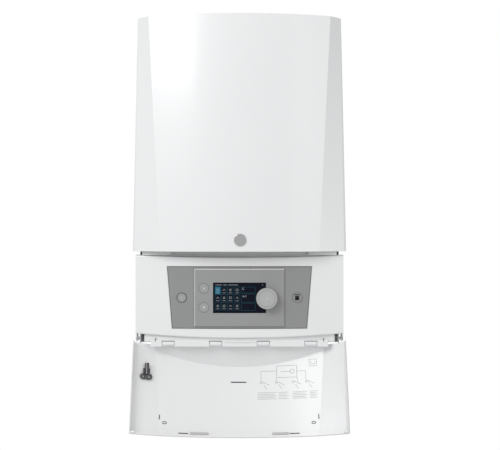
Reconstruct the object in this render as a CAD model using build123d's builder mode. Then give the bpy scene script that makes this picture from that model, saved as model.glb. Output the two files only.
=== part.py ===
from build123d import *
import math
import os

os.makedirs("parts", exist_ok=True)

# Frame of the whole object: wall at y = 0, front towards -Y, x = 0 on the centre line
# Levels of the casing
CASE_TOP = 690.0
CASING_BOTTOM = 196.0
SHEET = 1.5
MOULD = 2.5
CLEAR = 0.5

# Width and depth of the casing
CASE_WIDE = 450.0
CASE_DEEP = 450.0

# Plan of the convex front at the waist, where the casing is widest
WAIST_HALF = CASE_WIDE / 2
WAIST_CHEEK = 59.0
WAIST_CREASE = WAIST_HALF - WAIST_CHEEK
WAIST_FRONT = -CASE_DEEP
# Plan of the convex front at the top of the casing
TOP_DRAW = 9.0
TOP_HALF = WAIST_HALF - TOP_DRAW
TOP_CHEEK = 25.0
TOP_CREASE = TOP_HALF - TOP_CHEEK
TOP_LEAN = 12.0
# Plan of the convex front at the foot of the flap
FOOT_DRAW = 2.0
FOOT_HALF = WAIST_HALF - FOOT_DRAW
FOOT_CHEEK = 43.0
FOOT_CREASE = FOOT_HALF - FOOT_CHEEK
# Shape shared by those plans
LENS_RADIUS = 570.0
CHEEK_FALL = 27.0
CORNER_ROUND = 9.0
CASING_RETURN = 9.0
SHELL_DEEP = 100.0
SHELL_BACK = WAIST_FRONT + SHELL_DEEP

# Jacket
JACKET_GAP = 1.5
JACKET_HALF = TOP_HALF - MOULD - JACKET_GAP
JACKET_SET_BACK = 84.0
JACKET_FRONT = WAIST_FRONT + JACKET_SET_BACK
JACKET_FLANGE = 14.0
ROOF_GAP = 0.9
ROOF_SHEET = 1.6
TOP_PANEL_Z = CASE_TOP - MOULD - ROOF_GAP - ROOF_SHEET
BACK_SHEET = 2.0
BACK_DROP = 30.0
BACK_CORNER = 8.0
GRIP_LONG = 60.0
GRIP_TALL = 6.0
GRIP_STEP = 30.0
GRIP_BACK = 60.0
GRIP_LOW = 90.0
GRIP_DROP = 95.0
TRAY_SHEET = 2.0
TRAY_SET_BACK = 20.0
TRAY_LIP = 15.0
TRAY_SLOT_WIDE = 60.0
TRAY_SLOT_TALL = 18.0
TRAY_SLOT_X = 150.0
TRAY_SLOT_BACK = 50.0

# Wall bracket and the hood of the back panel that hangs on it
BRACKET_HALF = 170.0
BRACKET_THICK = 4.0
BRACKET_TALL = 36.0
BRACKET_DROP = 85.0
BRACKET_SHELF = 16.0
BRACKET_LIP = 7.0
BOLT_HALF_SPACING = 100.0
BOLT_SLOT = 16.0
BOLT_WIDE = 9.0
BOLT_DROP = 20.0
HOOD_SHEET = 2.0
HOOD_SIDE = 6.0
HOOD_GAP = 5.0

# Flap
HINGE_SET_BACK = 52.0
HINGE_Y = WAIST_FRONT + HINGE_SET_BACK
HINGE_Z = 2.0
FLAP_OPEN = 160.0
FLAP_GAP = 4.0
FLAP_TOP = CASING_BOTTOM - HINGE_Z - FLAP_GAP
FLAP_FOOT = -2.0
FLAP_BACK = 23.0
CHIN_FRONT_Z = 38.0
CHIN_BACK_Y = -14.0
CHIN_REACH = 2.5
FLAP_LIP = 12.0
ROD_R = 2.0
ROD_END = 6.0
RUNNING_GAP = 0.05
KNUCKLE_R = 5.0
TAB_WIDTH = 25.0
TAB_STEP = 100.0
TAB_PLACES = (-1.5 * TAB_STEP, -0.5 * TAB_STEP, 0.5 * TAB_STEP, 1.5 * TAB_STEP)
TAB_CLEAR = 1.0
TAB_ROOM = 2.4

# Control housing
HOUSING_GAP = 1.0
HOUSING_HALF = FOOT_HALF - MOULD - HOUSING_GAP
HOUSING_SET_BACK = 37.0
HOUSING_FRONT = WAIST_FRONT + HOUSING_SET_BACK
HOUSING_SAG = 20.0
HOUSING_RADIUS = (HOUSING_HALF**2 + HOUSING_SAG**2) / (2 * HOUSING_SAG)
FACE_STEP = 8.0
FACE_ROUND = 3.0
BODY_DEEP = 39.0
HOUSING_BACK = HOUSING_FRONT + BODY_DEEP
WING_DEEP = 63.0
HOUSING_WING = HOUSING_FRONT + WING_DEEP
HOUSING_FOOT = 5.0
LIP_GAP = 1.0
HOUSING_TOP = HINGE_Z + FLAP_TOP - MOULD - LIP_GAP
FACE_LOW = 14.5
FACE_MARGIN = 4.0
FACE_HIGH = HOUSING_TOP - FACE_MARGIN
SMILE_LOW = 8.0
SMILE_HIGH = 3.5
BAR_END = 33.5
BAR_HALF = HOUSING_HALF - BAR_END
PIVOT_SET_BACK = 29.0
PIVOT_Y = HOUSING_FRONT + PIVOT_SET_BACK
PIVOT_Z = 12.0
PIVOT_R = 3.0
PIVOT_PLATE = 3.0
PIVOT_PLATE_TALL = 18.0
PIVOT_NOSE = 8.0
PIVOT_TAIL = 54.0
PIVOT_ROOM_WIDE = 16.0
PIVOT_ROOM_LONG = 40.0
PIVOT_ROOM_BACK = 12.0
PIVOT_ROOM_DROP = 4.0
PIVOT_ROOM_MARGIN = 1.0
PANEL_DROP = 0.5
PANEL_Z = (FACE_LOW + FACE_HIGH) / 2 - PANEL_DROP
COVER_SIDE = 59.0
COVER_THICK = 2.0
COVER_RIB_STEP = 180.0
COVER_RIB_WIDE = 6.0
COVER_RIB_TALL = 60.0
POST_R = 3.0
BOARD_WIDE = 300.0
BOARD_TALL = 140.0
BOARD_THICK = 1.6
BOARD_SET_BACK = 21.0

# Fascia and what sits in it
FASCIA_TOP_HALF = 152.5
FASCIA_FOOT_HALF = 142.0
FASCIA_RISE = 66.0
FASCIA_FALL = 65.0
FASCIA_HIGH = PANEL_Z + FASCIA_RISE
FASCIA_LOW = PANEL_Z - FASCIA_FALL
FASCIA_THICK = 3.0
FASCIA_PROUD = 0.4
MODULE_WIDE = 191.0
MODULE_TALL = 123.0
MODULE_PROUD = 1.6
MODULE_DEEP = 16.0
MODULE_WALL = 3.0
MODULE_STEP = 4.5
MODULE_PLATE = 7.0
MODULE_CORNER = 1.2
SCREEN_WIDE = 111.0
SCREEN_TALL = 64.0
SCREEN_THICK = 2.0
SCREEN_SUNK = 0.8
SCREEN_LEDGE = 4.0
KNOB_INSET = 38.5
KNOB_X = MODULE_WIDE / 2 - KNOB_INSET
KNOB_DROP = 1.0
KNOB_Z = PANEL_Z - KNOB_DROP
KNOB_R = 22.4
KNOB_DEEP = 15.0
KNOB_GAP = 1.2
KNOB_TAPER = 2.0
KNOB_ROUND = 1.6
KNOB_WALL = 3.0
KNOB_RING = 3.4
KNOB_RING_WIDE = 0.8
KNOB_RING_DEEP = 0.5
KNOB_TOP = 3.0
SHAFT_R = 3.0
SHAFT_WALL = 3.0
SHAFT_HOLE = 6.0
SHAFT_TIP = 2.0
ENCODER_WIDE = 14.0
ENCODER_DEEP = 7.0
KEY_INSET = 21.0
KEY_X = KEY_INSET - MODULE_WIDE / 2
KEY_RISE = 20.0
KEY_R = 10.3
KEY_PROUD = 1.6
KEY_SHY = 2.6
KEY_GAP = 0.35
KEY_DEEP = 6.0
KEY_ROUND = 0.8
KEY_STEM = 3.0
BUTTON_OUT = 25.5
POWER_X = -(MODULE_WIDE / 2 + BUTTON_OUT)
POWER_R = 9.0
POWER_DEEP = 10.0
POWER_PROUD = 2.0
COLLAR_GAP = 0.4
COLLAR_DEEP = 12.6
COLLAR_BACK = 14.0
SOCKET_X = MODULE_WIDE / 2 + BUTTON_OUT
SOCKET_R = 11.3
SOCKET_SLOT = 9.0
SOCKET_DEEP = 8.0
SOCKET_DROP = 1.0
SOCKET_BAR = 2.0
SOCKET_BAR_RISE = 1.5
BADGE_X = 1.5
BADGE_RISE = 24.0
BADGE_R = 13.0
BADGE_PROUD = 2.0
BADGE_ROUND = 1.0

# Bleed key and its clip on the flap's left cheek
STEM_R = 4.4
STEM_SQUARE = 5.2
STEM_LONG = 24.0
STEM_BORE = 16.0
KEY_PLACE_RISE = 57.0
KEY_PLACE_IN = 3.5
STEM_START = 16.0
WING_R = 6.5
WING_HOLE_R = 3.0
WING_STEP = 7.0
WING_DROP = 12.0
WING_THICK = 3.0
WING_WEB = 12.0
CLIP_BASE = 0.8
CLIP_GAP = 0.3
CLIP_PRONG = 1.6
CLIP_TALL = 10.0
CLIP_REACH = 7.0
CLIP_SINK = 6.0

# Flue, drum and burner
FLUE_R = 30.0
FLUE_WALL = 1.0
FLUE_SOCKET_R = 36.0
FLUE_SOCKET_LONG = 16.0
AIR_R = 50.0
AIR_WALL = 2.0
ROOF_HOLE_R = AIR_R - AIR_WALL / 2
FLUE_RISE = 50.0
FLUE_SHY = 2.0
FLUE_X = 0.0
COLLAR_WIDE = 140.0
COLLAR_LONG = 130.0
COLLAR_CORNER = 12.0
COLLAR_SHEET = 4.0
SAMPLE_X = 22.0
SAMPLE_R = 6.5
SAMPLE_AWAY = 56.0
SAMPLE_TALL = 10.0
CAP_R = 8.0
CAP_TALL = 5.0
ROOF_SLOT_X = 150.0
ROOF_SLOT_BACK = 110.0
ROOF_SLOT_STEP = 20.0
ROOF_SLOT_LONG = 50.0
ROOF_SLOT_TALL = 6.0
DRUM_X = -55.0
DRUM_DROP = 185.0
DRUM_Z = TOP_PANEL_Z - DRUM_DROP
DRUM_R = 112.0
DRUM_WALL = 3.0
DRUM_SET_BACK = 81.0
DRUM_FRONT = JACKET_FRONT + DRUM_SET_BACK
DRUM_DEEP = 175.0
DRUM_BACK = DRUM_FRONT + DRUM_DEEP
DRUM_RIM = 6.0
DRUM_PLATE = 4.0
DRUM_MOUTH_R = 78.0
DRUM_GROOVES = 6
DRUM_GROOVE_STEP = 23.0
DRUM_GROOVE = 5.0
DRUM_GROOVE_DEEP = 4.0
DRUM_FOOT_R = 10.0
DRUM_FOOT_OUT = 80.0
DRUM_FOOT_DROP = 40.0
DRUM_FOOT_RISE = 62.0
RETURN_OUT = 95.0
RETURN_DROP = 85.0
SMOKE_R = 33.0
SMOKE_RISE = 12.0
FLUE_BEHIND = 135.0
FLUE_Y = DRUM_FRONT + FLUE_BEHIND
PORT_R = 12.0
PORT_OUT = 6.0
GASKET_R = 98.0
GASKET_MOUTH_R = 80.0
GASKET_THICK = 3.0
DOOR_R = 104.0
DOOR_THICK = 10.0
DOOR_ROUND = 3.0
DUCT_HIGH = 66.0
DUCT_DEEP = 14.0
DUCT_CORNER = 16.0
DUCT_LEFT = 33.0
NUT_RING_R = 92.0
NUT_R = 5.5
NUT_TALL = 6.0
NUTS = 6
BURNER_R = 32.0
BURNER_WALL = 1.5
BURNER_LONG = 110.0
BURNER_FIT = 1.0
WINDOW_X = 50.0
WINDOW_Z = 48.0
WINDOW_R = 6.0
ROD_FIT = 0.5
ELECTRODE_LONG = 45.0
ELECTRODE_IN = 12.0
GLASS_RIM_R = 10.0
GLASS_RIM_THICK = 5.0

# Fan, gas and air
FAN_SIDE = 102.5
FAN_X = JACKET_HALF - SHEET - FAN_SIDE
FAN_SET_BACK = 50.0
FAN_Y = DRUM_FRONT + FAN_SET_BACK
FAN_DROP = 100.0
FAN_Z = DRUM_Z - FAN_DROP
FAN_R = 62.0
FAN_TALL = 44.0
FAN_WALL = 4.0
FAN_EYE_R = 24.0
FAN_OUTLET = 50.0
RISER_WIDE = 40.0
RISER_DEEP = 19.0
RISER_OFF = 32.0
IMPELLER_R = 50.0
IMPELLER_BLADE = 28.0
IMPELLER_LIFT = 8.0
IMPELLER_TALL = 26.0
IMPELLER_HUB_R = 9.0
IMPELLER_PLATE = 2.0
BLADES = 12
BLADE_THICK = 2.0
FLANGE_R = 56.0
FLANGE_THICK = 3.0
MOTOR_R = 42.0
MOTOR_TALL = 34.0
MOTOR_TAPER = 4.0
VENTURI_R = 28.0
VENTURI_MOUTH_R = 18.0
VENTURI_LONG = 52.0
VENTURI_FLANGE_R = 34.0
VENTURI_FLANGE = 8.0
VALVE_AWAY = 62.0
VALVE_WIDE = 60.0
VALVE_DEEP = 62.0
VALVE_TALL = 66.0
VALVE_DROP = 62.0
COIL_WIDE = 44.0
COIL_DEEP = 22.0
COIL_TALL = 40.0
COIL_RISE = 7.0
NOZZLE_R = 8.0
NOZZLE_DROP = 32.0
NOZZLE_REACH = 30.0
SILENCER_WIDE = 80.0
SILENCER_DEEP = 84.0
SILENCER_TALL = 190.0
SILENCER_GAP = 5.5
SILENCER_STAND_OFF = 84.0
SILENCER_BOSS_R = 12.0
SILENCER_RAISE = 20.0
SILENCER_ROUND = 12.0
SPARK_WIDE = 40.0
SPARK_DEEP = 34.0
SPARK_TALL = 52.0
SPARK_SET_BACK = 141.0
SPARK_DROP = 170.0
SPARK_PLUG = 12.0
SPARK_PLUG_TALL = 16.0

# Expansion vessel
VESSEL_X = -40.0
VESSEL_Z = 240.0
VESSEL_WIDE = 300.0
VESSEL_TALL = 250.0
VESSEL_DEEP = 55.0
VESSEL_STAND_OFF = 30.0
VESSEL_CORNER = 60.0
VESSEL_ROUND = 18.0
VESSEL_BOSS_R = 20.0

# Connections and the water group along the foot
STUB_STEP = 65.0
WIDE_TUBE_R = 11.0
SLIM_TUBE_R = 7.5
STUBS = (
    ("flow_stub", -2 * STUB_STEP, WIDE_TUBE_R),
    ("hot_water_stub", -STUB_STEP, SLIM_TUBE_R),
    ("gas_stub", 0.0, WIDE_TUBE_R),
    ("cold_water_stub", STUB_STEP, SLIM_TUBE_R),
    ("return_stub", 2 * STUB_STEP, WIDE_TUBE_R),
)
STUB_Y = -120.0
STUB_WALL = 1.0
STUB_FOOT = -58.0
STUB_TAIL = 48.0
STUB_TOP = 32.0
STUB_SHOULDER = 1.5
STUB_NUT = 5.0
STUB_NUT_Z = 10.0
STUB_NUT_TALL = 18.0
TRAY_HOLE_GAP = 0.5
BLOCK_Y = -150.0
BLOCK_Z = 62.0
BLOCK_SQUARE = 44.0
BLOCK_END = 20.0
BLOCK_HALF = 2 * STUB_STEP + BLOCK_END
BLOCK_FRONT = BLOCK_Y - BLOCK_SQUARE / 2
BLOCK_TURRET_R = 16.0
BLOCK_TURRET_TALL = 40.0
BLOCK_TOP = BLOCK_Z + BLOCK_TURRET_TALL
BLOCK_BOSS = 3.0
PUMP_SIDE = 90.5
PUMP_X = JACKET_HALF - SHEET - PUMP_SIDE
PUMP_Z = 75.0
PUMP_R = 46.0
PUMP_DEEP = 40.0
PUMP_NECK = 34.0
PUMP_NECK_Z = 130.0
PUMP_NECK_TALL = 50.0
PUMP_MOTOR_R = 42.0
PUMP_MOTOR_DEEP = 62.0
PUMP_MOTOR_ROUND = 5.0
PUMP_BOX_WIDE = 60.0
PUMP_BOX_DEEP = 50.0
PUMP_BOX_TALL = 20.0
PUMP_BOX_AHEAD = 4.0
PLATE_X = -50.0
PLATE_WIDE = 180.0
PLATE_DEEP = 84.0
PLATE_TALL = 76.0
PLATE_Z = 95.0
PLATE_RIBS = 9
PLATE_RIB_STEP = 9.0
PLATE_RIB_WIDE = 3.0
PLATE_RIB_PROUD = 2.0
DIVERTER_WIDE = 40.0
DIVERTER_DEEP = 60.0
DIVERTER_TALL = 50.0
DIVERTER_NECK_R = 12.0
DIVERTER_NECK = 8.0
RELIEF_X = 60.0
RELIEF_R = 14.0
RELIEF_LONG = 60.0
RELIEF_OUTLET_R = 9.0
RELIEF_OUTLET_AWAY = 50.0
RELIEF_OUTLET_Z = 30.0
RELIEF_CAP_R = 15.0
RELIEF_CAP_LONG = 16.0
RELIEF_CAP_GAP = 0.3
RELIEF_FLUTES = 8
RELIEF_FLUTE_R = 2.2
SIPHON_SIDE = 35.5
SIPHON_X = SIPHON_SIDE - (JACKET_HALF - SHEET)
SIPHON_SET_BACK = 74.0
SIPHON_Y = JACKET_FRONT + SIPHON_SET_BACK
SIPHON_R = 19.0
SIPHON_FOOT = 6.0
SIPHON_TALL = 49.0
SIPHON_NECK_R = 8.0
SIPHON_NECK_TALL = 8.0
SIPHON_SPIGOT_R = 16.0
SIPHON_SPIGOT_BORE_R = 12.0
SIPHON_SPIGOT = 5.0
CUP_R = 20.0
CUP_BORE_R = 16.5
CUP_FOOT = -30.0
CUP_FLOOR = 3.0
CUP_GAP = 0.5
SIPHON_HOLE_GAP = 4.0
WATER_R = 9.0
WATER_BEND = 15.0
FLOW_RUN = 24.0
GAS_R = 6.0
GAS_BEND = 10.0
GAS_BACK = 15.0
HOSE_R = 7.0
HOSE_BEND = 12.0
SEAL_SIDE = 5.0
SEAL_WIDE = 8.0
SEAL_THICK = 6.0
SEAL_ROUND = 12.0
SEAL_LOW = 11.0
SEAL_HIGH = 8.0


def lens_fall(crease):
    """Depth lost by the lens between the centre line and its crease."""
    return LENS_RADIUS - math.sqrt(LENS_RADIUS**2 - crease**2)


def housing_y(across):
    """Front face of the control housing at a distance from the centre line."""
    return HOUSING_FRONT + HOUSING_RADIUS - math.sqrt(HOUSING_RADIUS**2 - across**2)


def front_plan(plane, half, crease, front, back, inset):
    """Plan outline of the convex front: lens, cheeks and flanks, drawn in by a wall."""
    crease_y = front + lens_fall(crease)
    corner_y = crease_y + CHEEK_FALL
    rear = back if inset == 0 else back + 4 * inset
    with BuildSketch(plane) as plan:
        with BuildLine():
            ThreePointArc((-crease, crease_y), (0, front), (crease, crease_y))
            Line((crease, crease_y), (half, corner_y))
            Line((half, corner_y), (half, rear))
            Line((half, rear), (-half, rear))
            Line((-half, rear), (-half, corner_y))
            Line((-half, corner_y), (-crease, crease_y))
        make_face()
        ahead = plan.vertices().filter_by(lambda v: plane.to_local_coords(v.center()).Y < rear - CLEAR)
        corners = ahead.filter_by(lambda v: abs(plane.to_local_coords(v.center()).X) > half - CLEAR)
        fillet(corners, radius=CORNER_ROUND)
        if inset > 0:
            offset(amount=-inset, kind=Kind.INTERSECTION)
    return plan.sketch


def arc_plan(plane, half, front, radius, back):
    """Plan outline with one shallow arc at the front and square flanks."""
    fall = radius - math.sqrt(radius**2 - half**2)
    with BuildSketch(plane) as plan:
        with BuildLine():
            ThreePointArc((-half, front + fall), (0, front), (half, front + fall))
            Line((half, front + fall), (half, back))
            Line((half, back), (-half, back))
            Line((-half, back), (-half, front + fall))
        make_face()
    return plan.sketch


def casing_plan(level, inset):
    """Plan of the front casing at a level, between the waist and the crown."""
    share = (level - CASING_BOTTOM) / (CASE_TOP - CASING_BOTTOM)
    half = WAIST_HALF + (TOP_HALF - WAIST_HALF) * share
    crease = WAIST_CREASE + (TOP_CREASE - WAIST_CREASE) * share
    front = WAIST_FRONT + TOP_LEAN * share
    return front_plan(Plane.XY.offset(level), half, crease, front, SHELL_BACK, inset)


def flap_plan(rise, inset):
    """Plan of the closed flap at a height above its hinge, drawn in the flap's own frame."""
    share = rise / FLAP_TOP
    half = FOOT_HALF + (WAIST_HALF - FOOT_HALF) * share
    crease = FOOT_CREASE + (WAIST_CREASE - FOOT_CREASE) * share
    return front_plan(flap_frame.offset(rise), half, crease, WAIST_FRONT - HINGE_Y, FLAP_BACK, inset)


# Frame of the flap: origin on the hinge line, turned to the open position
turn = math.radians(FLAP_OPEN)
flap_frame = Plane(
    origin=(0, HINGE_Y, HINGE_Z), x_dir=(1, 0, 0), z_dir=(0, -math.sin(turn), math.cos(turn))
)

# Front casing, a one-piece shell with a lid, open at the back and at the foot
with BuildPart() as front_casing:
    loft([casing_plan(CASING_BOTTOM, 0), casing_plan(CASE_TOP, 0)], ruled=True)
    loft(
        [casing_plan(CASING_BOTTOM - MOULD, MOULD), casing_plan(CASE_TOP - MOULD, MOULD)],
        ruled=True,
        mode=Mode.SUBTRACT,
    )
    # stiffening return along the foot of the shell
    with BuildSketch(Plane.XY.offset(CASING_BOTTOM)):
        add(casing_plan(CASING_BOTTOM, MOULD / 2).moved(Location((0, 0, -CASING_BOTTOM))))
        offset(amount=-CASING_RETURN, kind=Kind.INTERSECTION, mode=Mode.SUBTRACT)
        with Locations((0, SHELL_BACK)):
            Rectangle(3 * WAIST_HALF, 4 * CASING_RETURN, mode=Mode.SUBTRACT)
    extrude(amount=MOULD)
front_casing.part.label = "front_casing"
export_step(front_casing.part, "parts/front_casing.step")

# Flap shell: the casing's surface carried down to a sloping chin, hollow towards the housing
flap_side = Plane(origin=flap_frame.origin, x_dir=flap_frame.y_dir, z_dir=flap_frame.x_dir)
flap_front = WAIST_FRONT - HINGE_Y
chin_run = flap_front - CHIN_BACK_Y
chin_rise = CHIN_FRONT_Z - FLAP_FOOT
chin_shift = MOULD * math.hypot(chin_run, chin_rise) / abs(chin_run)


def chin_outline(shift):
    """Region below the chin plane, seen from the side, raised by a wall."""
    with BuildSketch(flap_side) as region:
        with BuildLine():
            Polyline(
                (CHIN_BACK_Y + chin_run * CHIN_REACH, FLAP_FOOT + chin_rise * CHIN_REACH + shift),
                (CHIN_BACK_Y, FLAP_FOOT + shift),
                (CHIN_BACK_Y, FLAP_FOOT - CHIN_FRONT_Z),
                (CHIN_BACK_Y + chin_run * CHIN_REACH, FLAP_FOOT - CHIN_FRONT_Z),
                close=True,
            )
        make_face()
    return region.sketch


with BuildPart() as flap_hollow:
    loft([flap_plan(FLAP_FOOT - MOULD, MOULD), flap_plan(FLAP_TOP - MOULD, MOULD)], ruled=True)
    extrude(chin_outline(chin_shift), amount=WAIST_HALF + MOULD, both=True, mode=Mode.SUBTRACT)

with BuildPart() as flap_mouth:
    loft([flap_plan(FLAP_TOP - FLAP_LIP, FLAP_LIP), flap_plan(FLAP_TOP + MOULD, FLAP_LIP)], ruled=True)

with BuildPart() as flap_shell:
    loft([flap_plan(FLAP_FOOT, 0), flap_plan(FLAP_TOP, 0)], ruled=True)
    extrude(chin_outline(0), amount=WAIST_HALF + MOULD, both=True, mode=Mode.SUBTRACT)
    add(flap_hollow.part, mode=Mode.SUBTRACT)
    add(flap_mouth.part, mode=Mode.SUBTRACT)
    # knuckles round the hinge rod, each carried by a web from the chin
    with BuildSketch(*[flap_side.offset(place - TAB_WIDTH / 2) for place in TAB_PLACES]):
        Circle(KNUCKLE_R)
        with Locations((CHIN_BACK_Y / 2 - TAB_CLEAR, 0)):
            Rectangle(-CHIN_BACK_Y, 2 * MOULD)
    extrude(amount=TAB_WIDTH)
    with BuildSketch(flap_side):
        Circle(ROD_R + RUNNING_GAP)
    extrude(amount=WAIST_HALF, both=True, mode=Mode.SUBTRACT)
flap_shell.part.label = "flap_shell"
export_step(flap_shell.part, "parts/flap_shell.step")

# Hinge rod, fixed in the housing's bar
rod_side = Plane(origin=(0, HINGE_Y, HINGE_Z), x_dir=(0, 1, 0), z_dir=(1, 0, 0))
with BuildPart() as hinge_rod:
    with BuildSketch(rod_side):
        Circle(ROD_R)
    extrude(amount=BAR_HALF - ROD_END, both=True)
hinge_rod.part.label = "hinge_rod"
export_step(hinge_rod.part, "parts/hinge_rod.step")

foot_plane = Plane.XY.offset(HOUSING_FOOT)


# Control housing: hollow body, raised convex face with curved upper and lower edges, hinge bar
def smile(low, high, half, grow):
    """Front outline of the raised face, seen from the front."""
    with BuildSketch(Plane.XZ) as outline:
        with BuildLine():
            ThreePointArc((-half, low + SMILE_LOW), (0, low), (half, low + SMILE_LOW))
            Line((half, low + SMILE_LOW), (half, high + SMILE_HIGH))
            ThreePointArc((half, high + SMILE_HIGH), (0, high), (-half, high + SMILE_HIGH))
            Line((-half, high + SMILE_HIGH), (-half, low + SMILE_LOW))
        make_face()
        if grow < 0:
            offset(amount=grow, kind=Kind.INTERSECTION)
    return outline.sketch


def fascia_outline(grow):
    """Front outline of the fascia, seen from the front."""
    with BuildSketch(Plane.XZ) as outline:
        with BuildLine():
            Polyline(
                (-FASCIA_FOOT_HALF, FASCIA_LOW),
                (FASCIA_FOOT_HALF, FASCIA_LOW),
                (FASCIA_TOP_HALF, FASCIA_HIGH),
                (-FASCIA_TOP_HALF, FASCIA_HIGH),
                close=True,
            )
        make_face()
        if grow != 0:
            offset(amount=grow, kind=Kind.INTERSECTION)
    return outline.sketch


def skin(front, thick, outline):
    """Curved plate parallel to the housing's face, trimmed to an outline seen from the front."""
    over = HOUSING_HALF + MOULD
    with BuildPart() as plate:
        extrude(arc_plan(foot_plane, HOUSING_HALF, front, HOUSING_RADIUS, HOUSING_BACK), amount=HOUSING_TOP)
        behind = arc_plan(foot_plane, over, front + thick, HOUSING_RADIUS, HOUSING_BACK + MOULD)
        extrude(behind, amount=HOUSING_TOP, mode=Mode.SUBTRACT)
        extrude(outline, amount=-2 * HOUSING_FRONT, both=True, mode=Mode.INTERSECT)
    return plate.part


body_front = HOUSING_FRONT + FACE_STEP
with BuildPart() as face_boss:
    boss_back = HOUSING_BACK - FACE_MARGIN
    extrude(arc_plan(foot_plane, HOUSING_HALF, HOUSING_FRONT, HOUSING_RADIUS, boss_back), amount=HOUSING_TOP)
    outer_smile = smile(FACE_LOW, FACE_HIGH, HOUSING_HALF, 0)
    extrude(outer_smile, amount=-2 * HOUSING_FRONT, both=True, mode=Mode.INTERSECT)
    edges_round = face_boss.edges().filter_by(lambda e: e.center().Y < HOUSING_FRONT + FACE_ROUND)
    fillet(edges_round, radius=FACE_ROUND)

with BuildPart() as boss_hollow:
    inner_half = HOUSING_HALF - MOULD
    inner_front = HOUSING_FRONT + MOULD
    hollow_back = HOUSING_BACK + FACE_STEP
    extrude(arc_plan(foot_plane, inner_half, inner_front, HOUSING_RADIUS, hollow_back), amount=HOUSING_TOP)
    inner_smile = smile(FACE_LOW, FACE_HIGH, inner_half, -MOULD)
    extrude(inner_smile, amount=-2 * HOUSING_FRONT, both=True, mode=Mode.INTERSECT)
    extrude(fascia_outline(2 * MOULD), amount=-2 * HOUSING_FRONT, both=True, mode=Mode.SUBTRACT)

housing_tall = HOUSING_TOP - HOUSING_FOOT
behind_panel = Plane.XZ.offset(-HOUSING_FRONT - BODY_DEEP)
wing_reach = HOUSING_WING - HOUSING_BACK
with BuildPart() as control_housing:
    extrude(arc_plan(foot_plane, HOUSING_HALF, body_front, HOUSING_RADIUS, HOUSING_WING), amount=housing_tall)
    add(face_boss.part)
    inner_plan = arc_plan(
        foot_plane.offset(MOULD), inner_half, body_front + MOULD, HOUSING_RADIUS, HOUSING_WING + FACE_STEP
    )
    extrude(inner_plan, amount=housing_tall - 2 * MOULD, mode=Mode.SUBTRACT)
    # only the two wings reach behind the back of the body
    with Locations((0, HOUSING_BACK + wing_reach, PANEL_Z)):
        Box(2 * inner_half, 2 * wing_reach, 2 * HOUSING_TOP, mode=Mode.SUBTRACT)
    add(boss_hollow.part, mode=Mode.SUBTRACT)
    # bar that carries the hinge rod, notched for the knuckles of the flap
    with Locations((0, HINGE_Y, HINGE_Z + TAB_CLEAR)):
        Box(2 * BAR_HALF, 2 * KNUCKLE_R, 2 * KNUCKLE_R + 4 * TAB_CLEAR)
    for place in TAB_PLACES:
        with Locations((place, HINGE_Y - TAB_CLEAR, HINGE_Z)):
            Box(
                TAB_WIDTH + 2 * TAB_CLEAR,
                2 * KNUCKLE_R + 4 * TAB_CLEAR,
                2 * KNUCKLE_R + TAB_ROOM,
                mode=Mode.SUBTRACT,
            )
    with BuildSketch(rod_side):
        Circle(ROD_R)
    extrude(amount=BAR_HALF - ROD_END, both=True, mode=Mode.SUBTRACT)
    # room for the pivot brackets
    for side in (-1, 1):
        room_x = side * (inner_half - PIVOT_ROOM_WIDE / 2)
        with Locations((room_x, PIVOT_Y + PIVOT_ROOM_BACK, PIVOT_Z - PIVOT_ROOM_DROP)):
            Box(PIVOT_ROOM_WIDE, PIVOT_ROOM_LONG, PIVOT_ROOM_LONG, mode=Mode.SUBTRACT)
    for side in (-1, 1):
        with BuildSketch(Plane.YZ.offset(side * (inner_half - PIVOT_ROOM_MARGIN))):
            with Locations((PIVOT_Y, PIVOT_Z)):
                Circle(PIVOT_R + RUNNING_GAP)
        extrude(amount=side * 2 * MOULD, mode=Mode.SUBTRACT)
    # pocket of the fascia, window of the display module and holes behind the button and the socket
    pocket_deep = FASCIA_THICK + MOULD - FASCIA_PROUD
    add(skin(HOUSING_FRONT - MOULD, pocket_deep, fascia_outline(CLEAR / 2)), mode=Mode.SUBTRACT)
    with Locations((0, HOUSING_FRONT, PANEL_Z)):
        Box(
            MODULE_WIDE - 2 * MODULE_STEP + 2 * CLEAR,
            2 * BODY_DEEP,
            MODULE_TALL - 2 * MODULE_STEP + 2 * CLEAR,
            mode=Mode.SUBTRACT,
        )
    with BuildSketch(behind_panel):
        with Locations((POWER_X, PANEL_Z), (SOCKET_X, PANEL_Z)):
            Circle(SOCKET_R)
    extrude(amount=2 * BODY_DEEP, mode=Mode.SUBTRACT)
control_housing.part.label = "control_housing"
export_step(control_housing.part, "parts/control_housing.step")


def panel_rectangle(wide, tall, x_place, z_place, corner):
    """Rounded rectangle seen from the front."""
    with BuildSketch(Plane.XZ) as outline:
        with Locations((x_place, z_place)):
            RectangleRounded(wide, tall, corner)
    return outline.sketch


# Fascia, the grey trapezoid plate
with BuildPart() as fascia:
    add(skin(HOUSING_FRONT - FASCIA_PROUD, FASCIA_THICK, fascia_outline(0)))
    module_hole = panel_rectangle(MODULE_WIDE, MODULE_TALL, 0, PANEL_Z, MODULE_CORNER)
    extrude(module_hole, amount=-2 * HOUSING_FRONT, both=True, mode=Mode.SUBTRACT)
    with BuildSketch(behind_panel):
        with Locations((POWER_X, PANEL_Z), (SOCKET_X, PANEL_Z)):
            Circle(SOCKET_R)
    extrude(amount=2 * BODY_DEEP, mode=Mode.SUBTRACT)
fascia.part.label = "fascia"
export_step(fascia.part, "parts/fascia.step")

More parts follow.
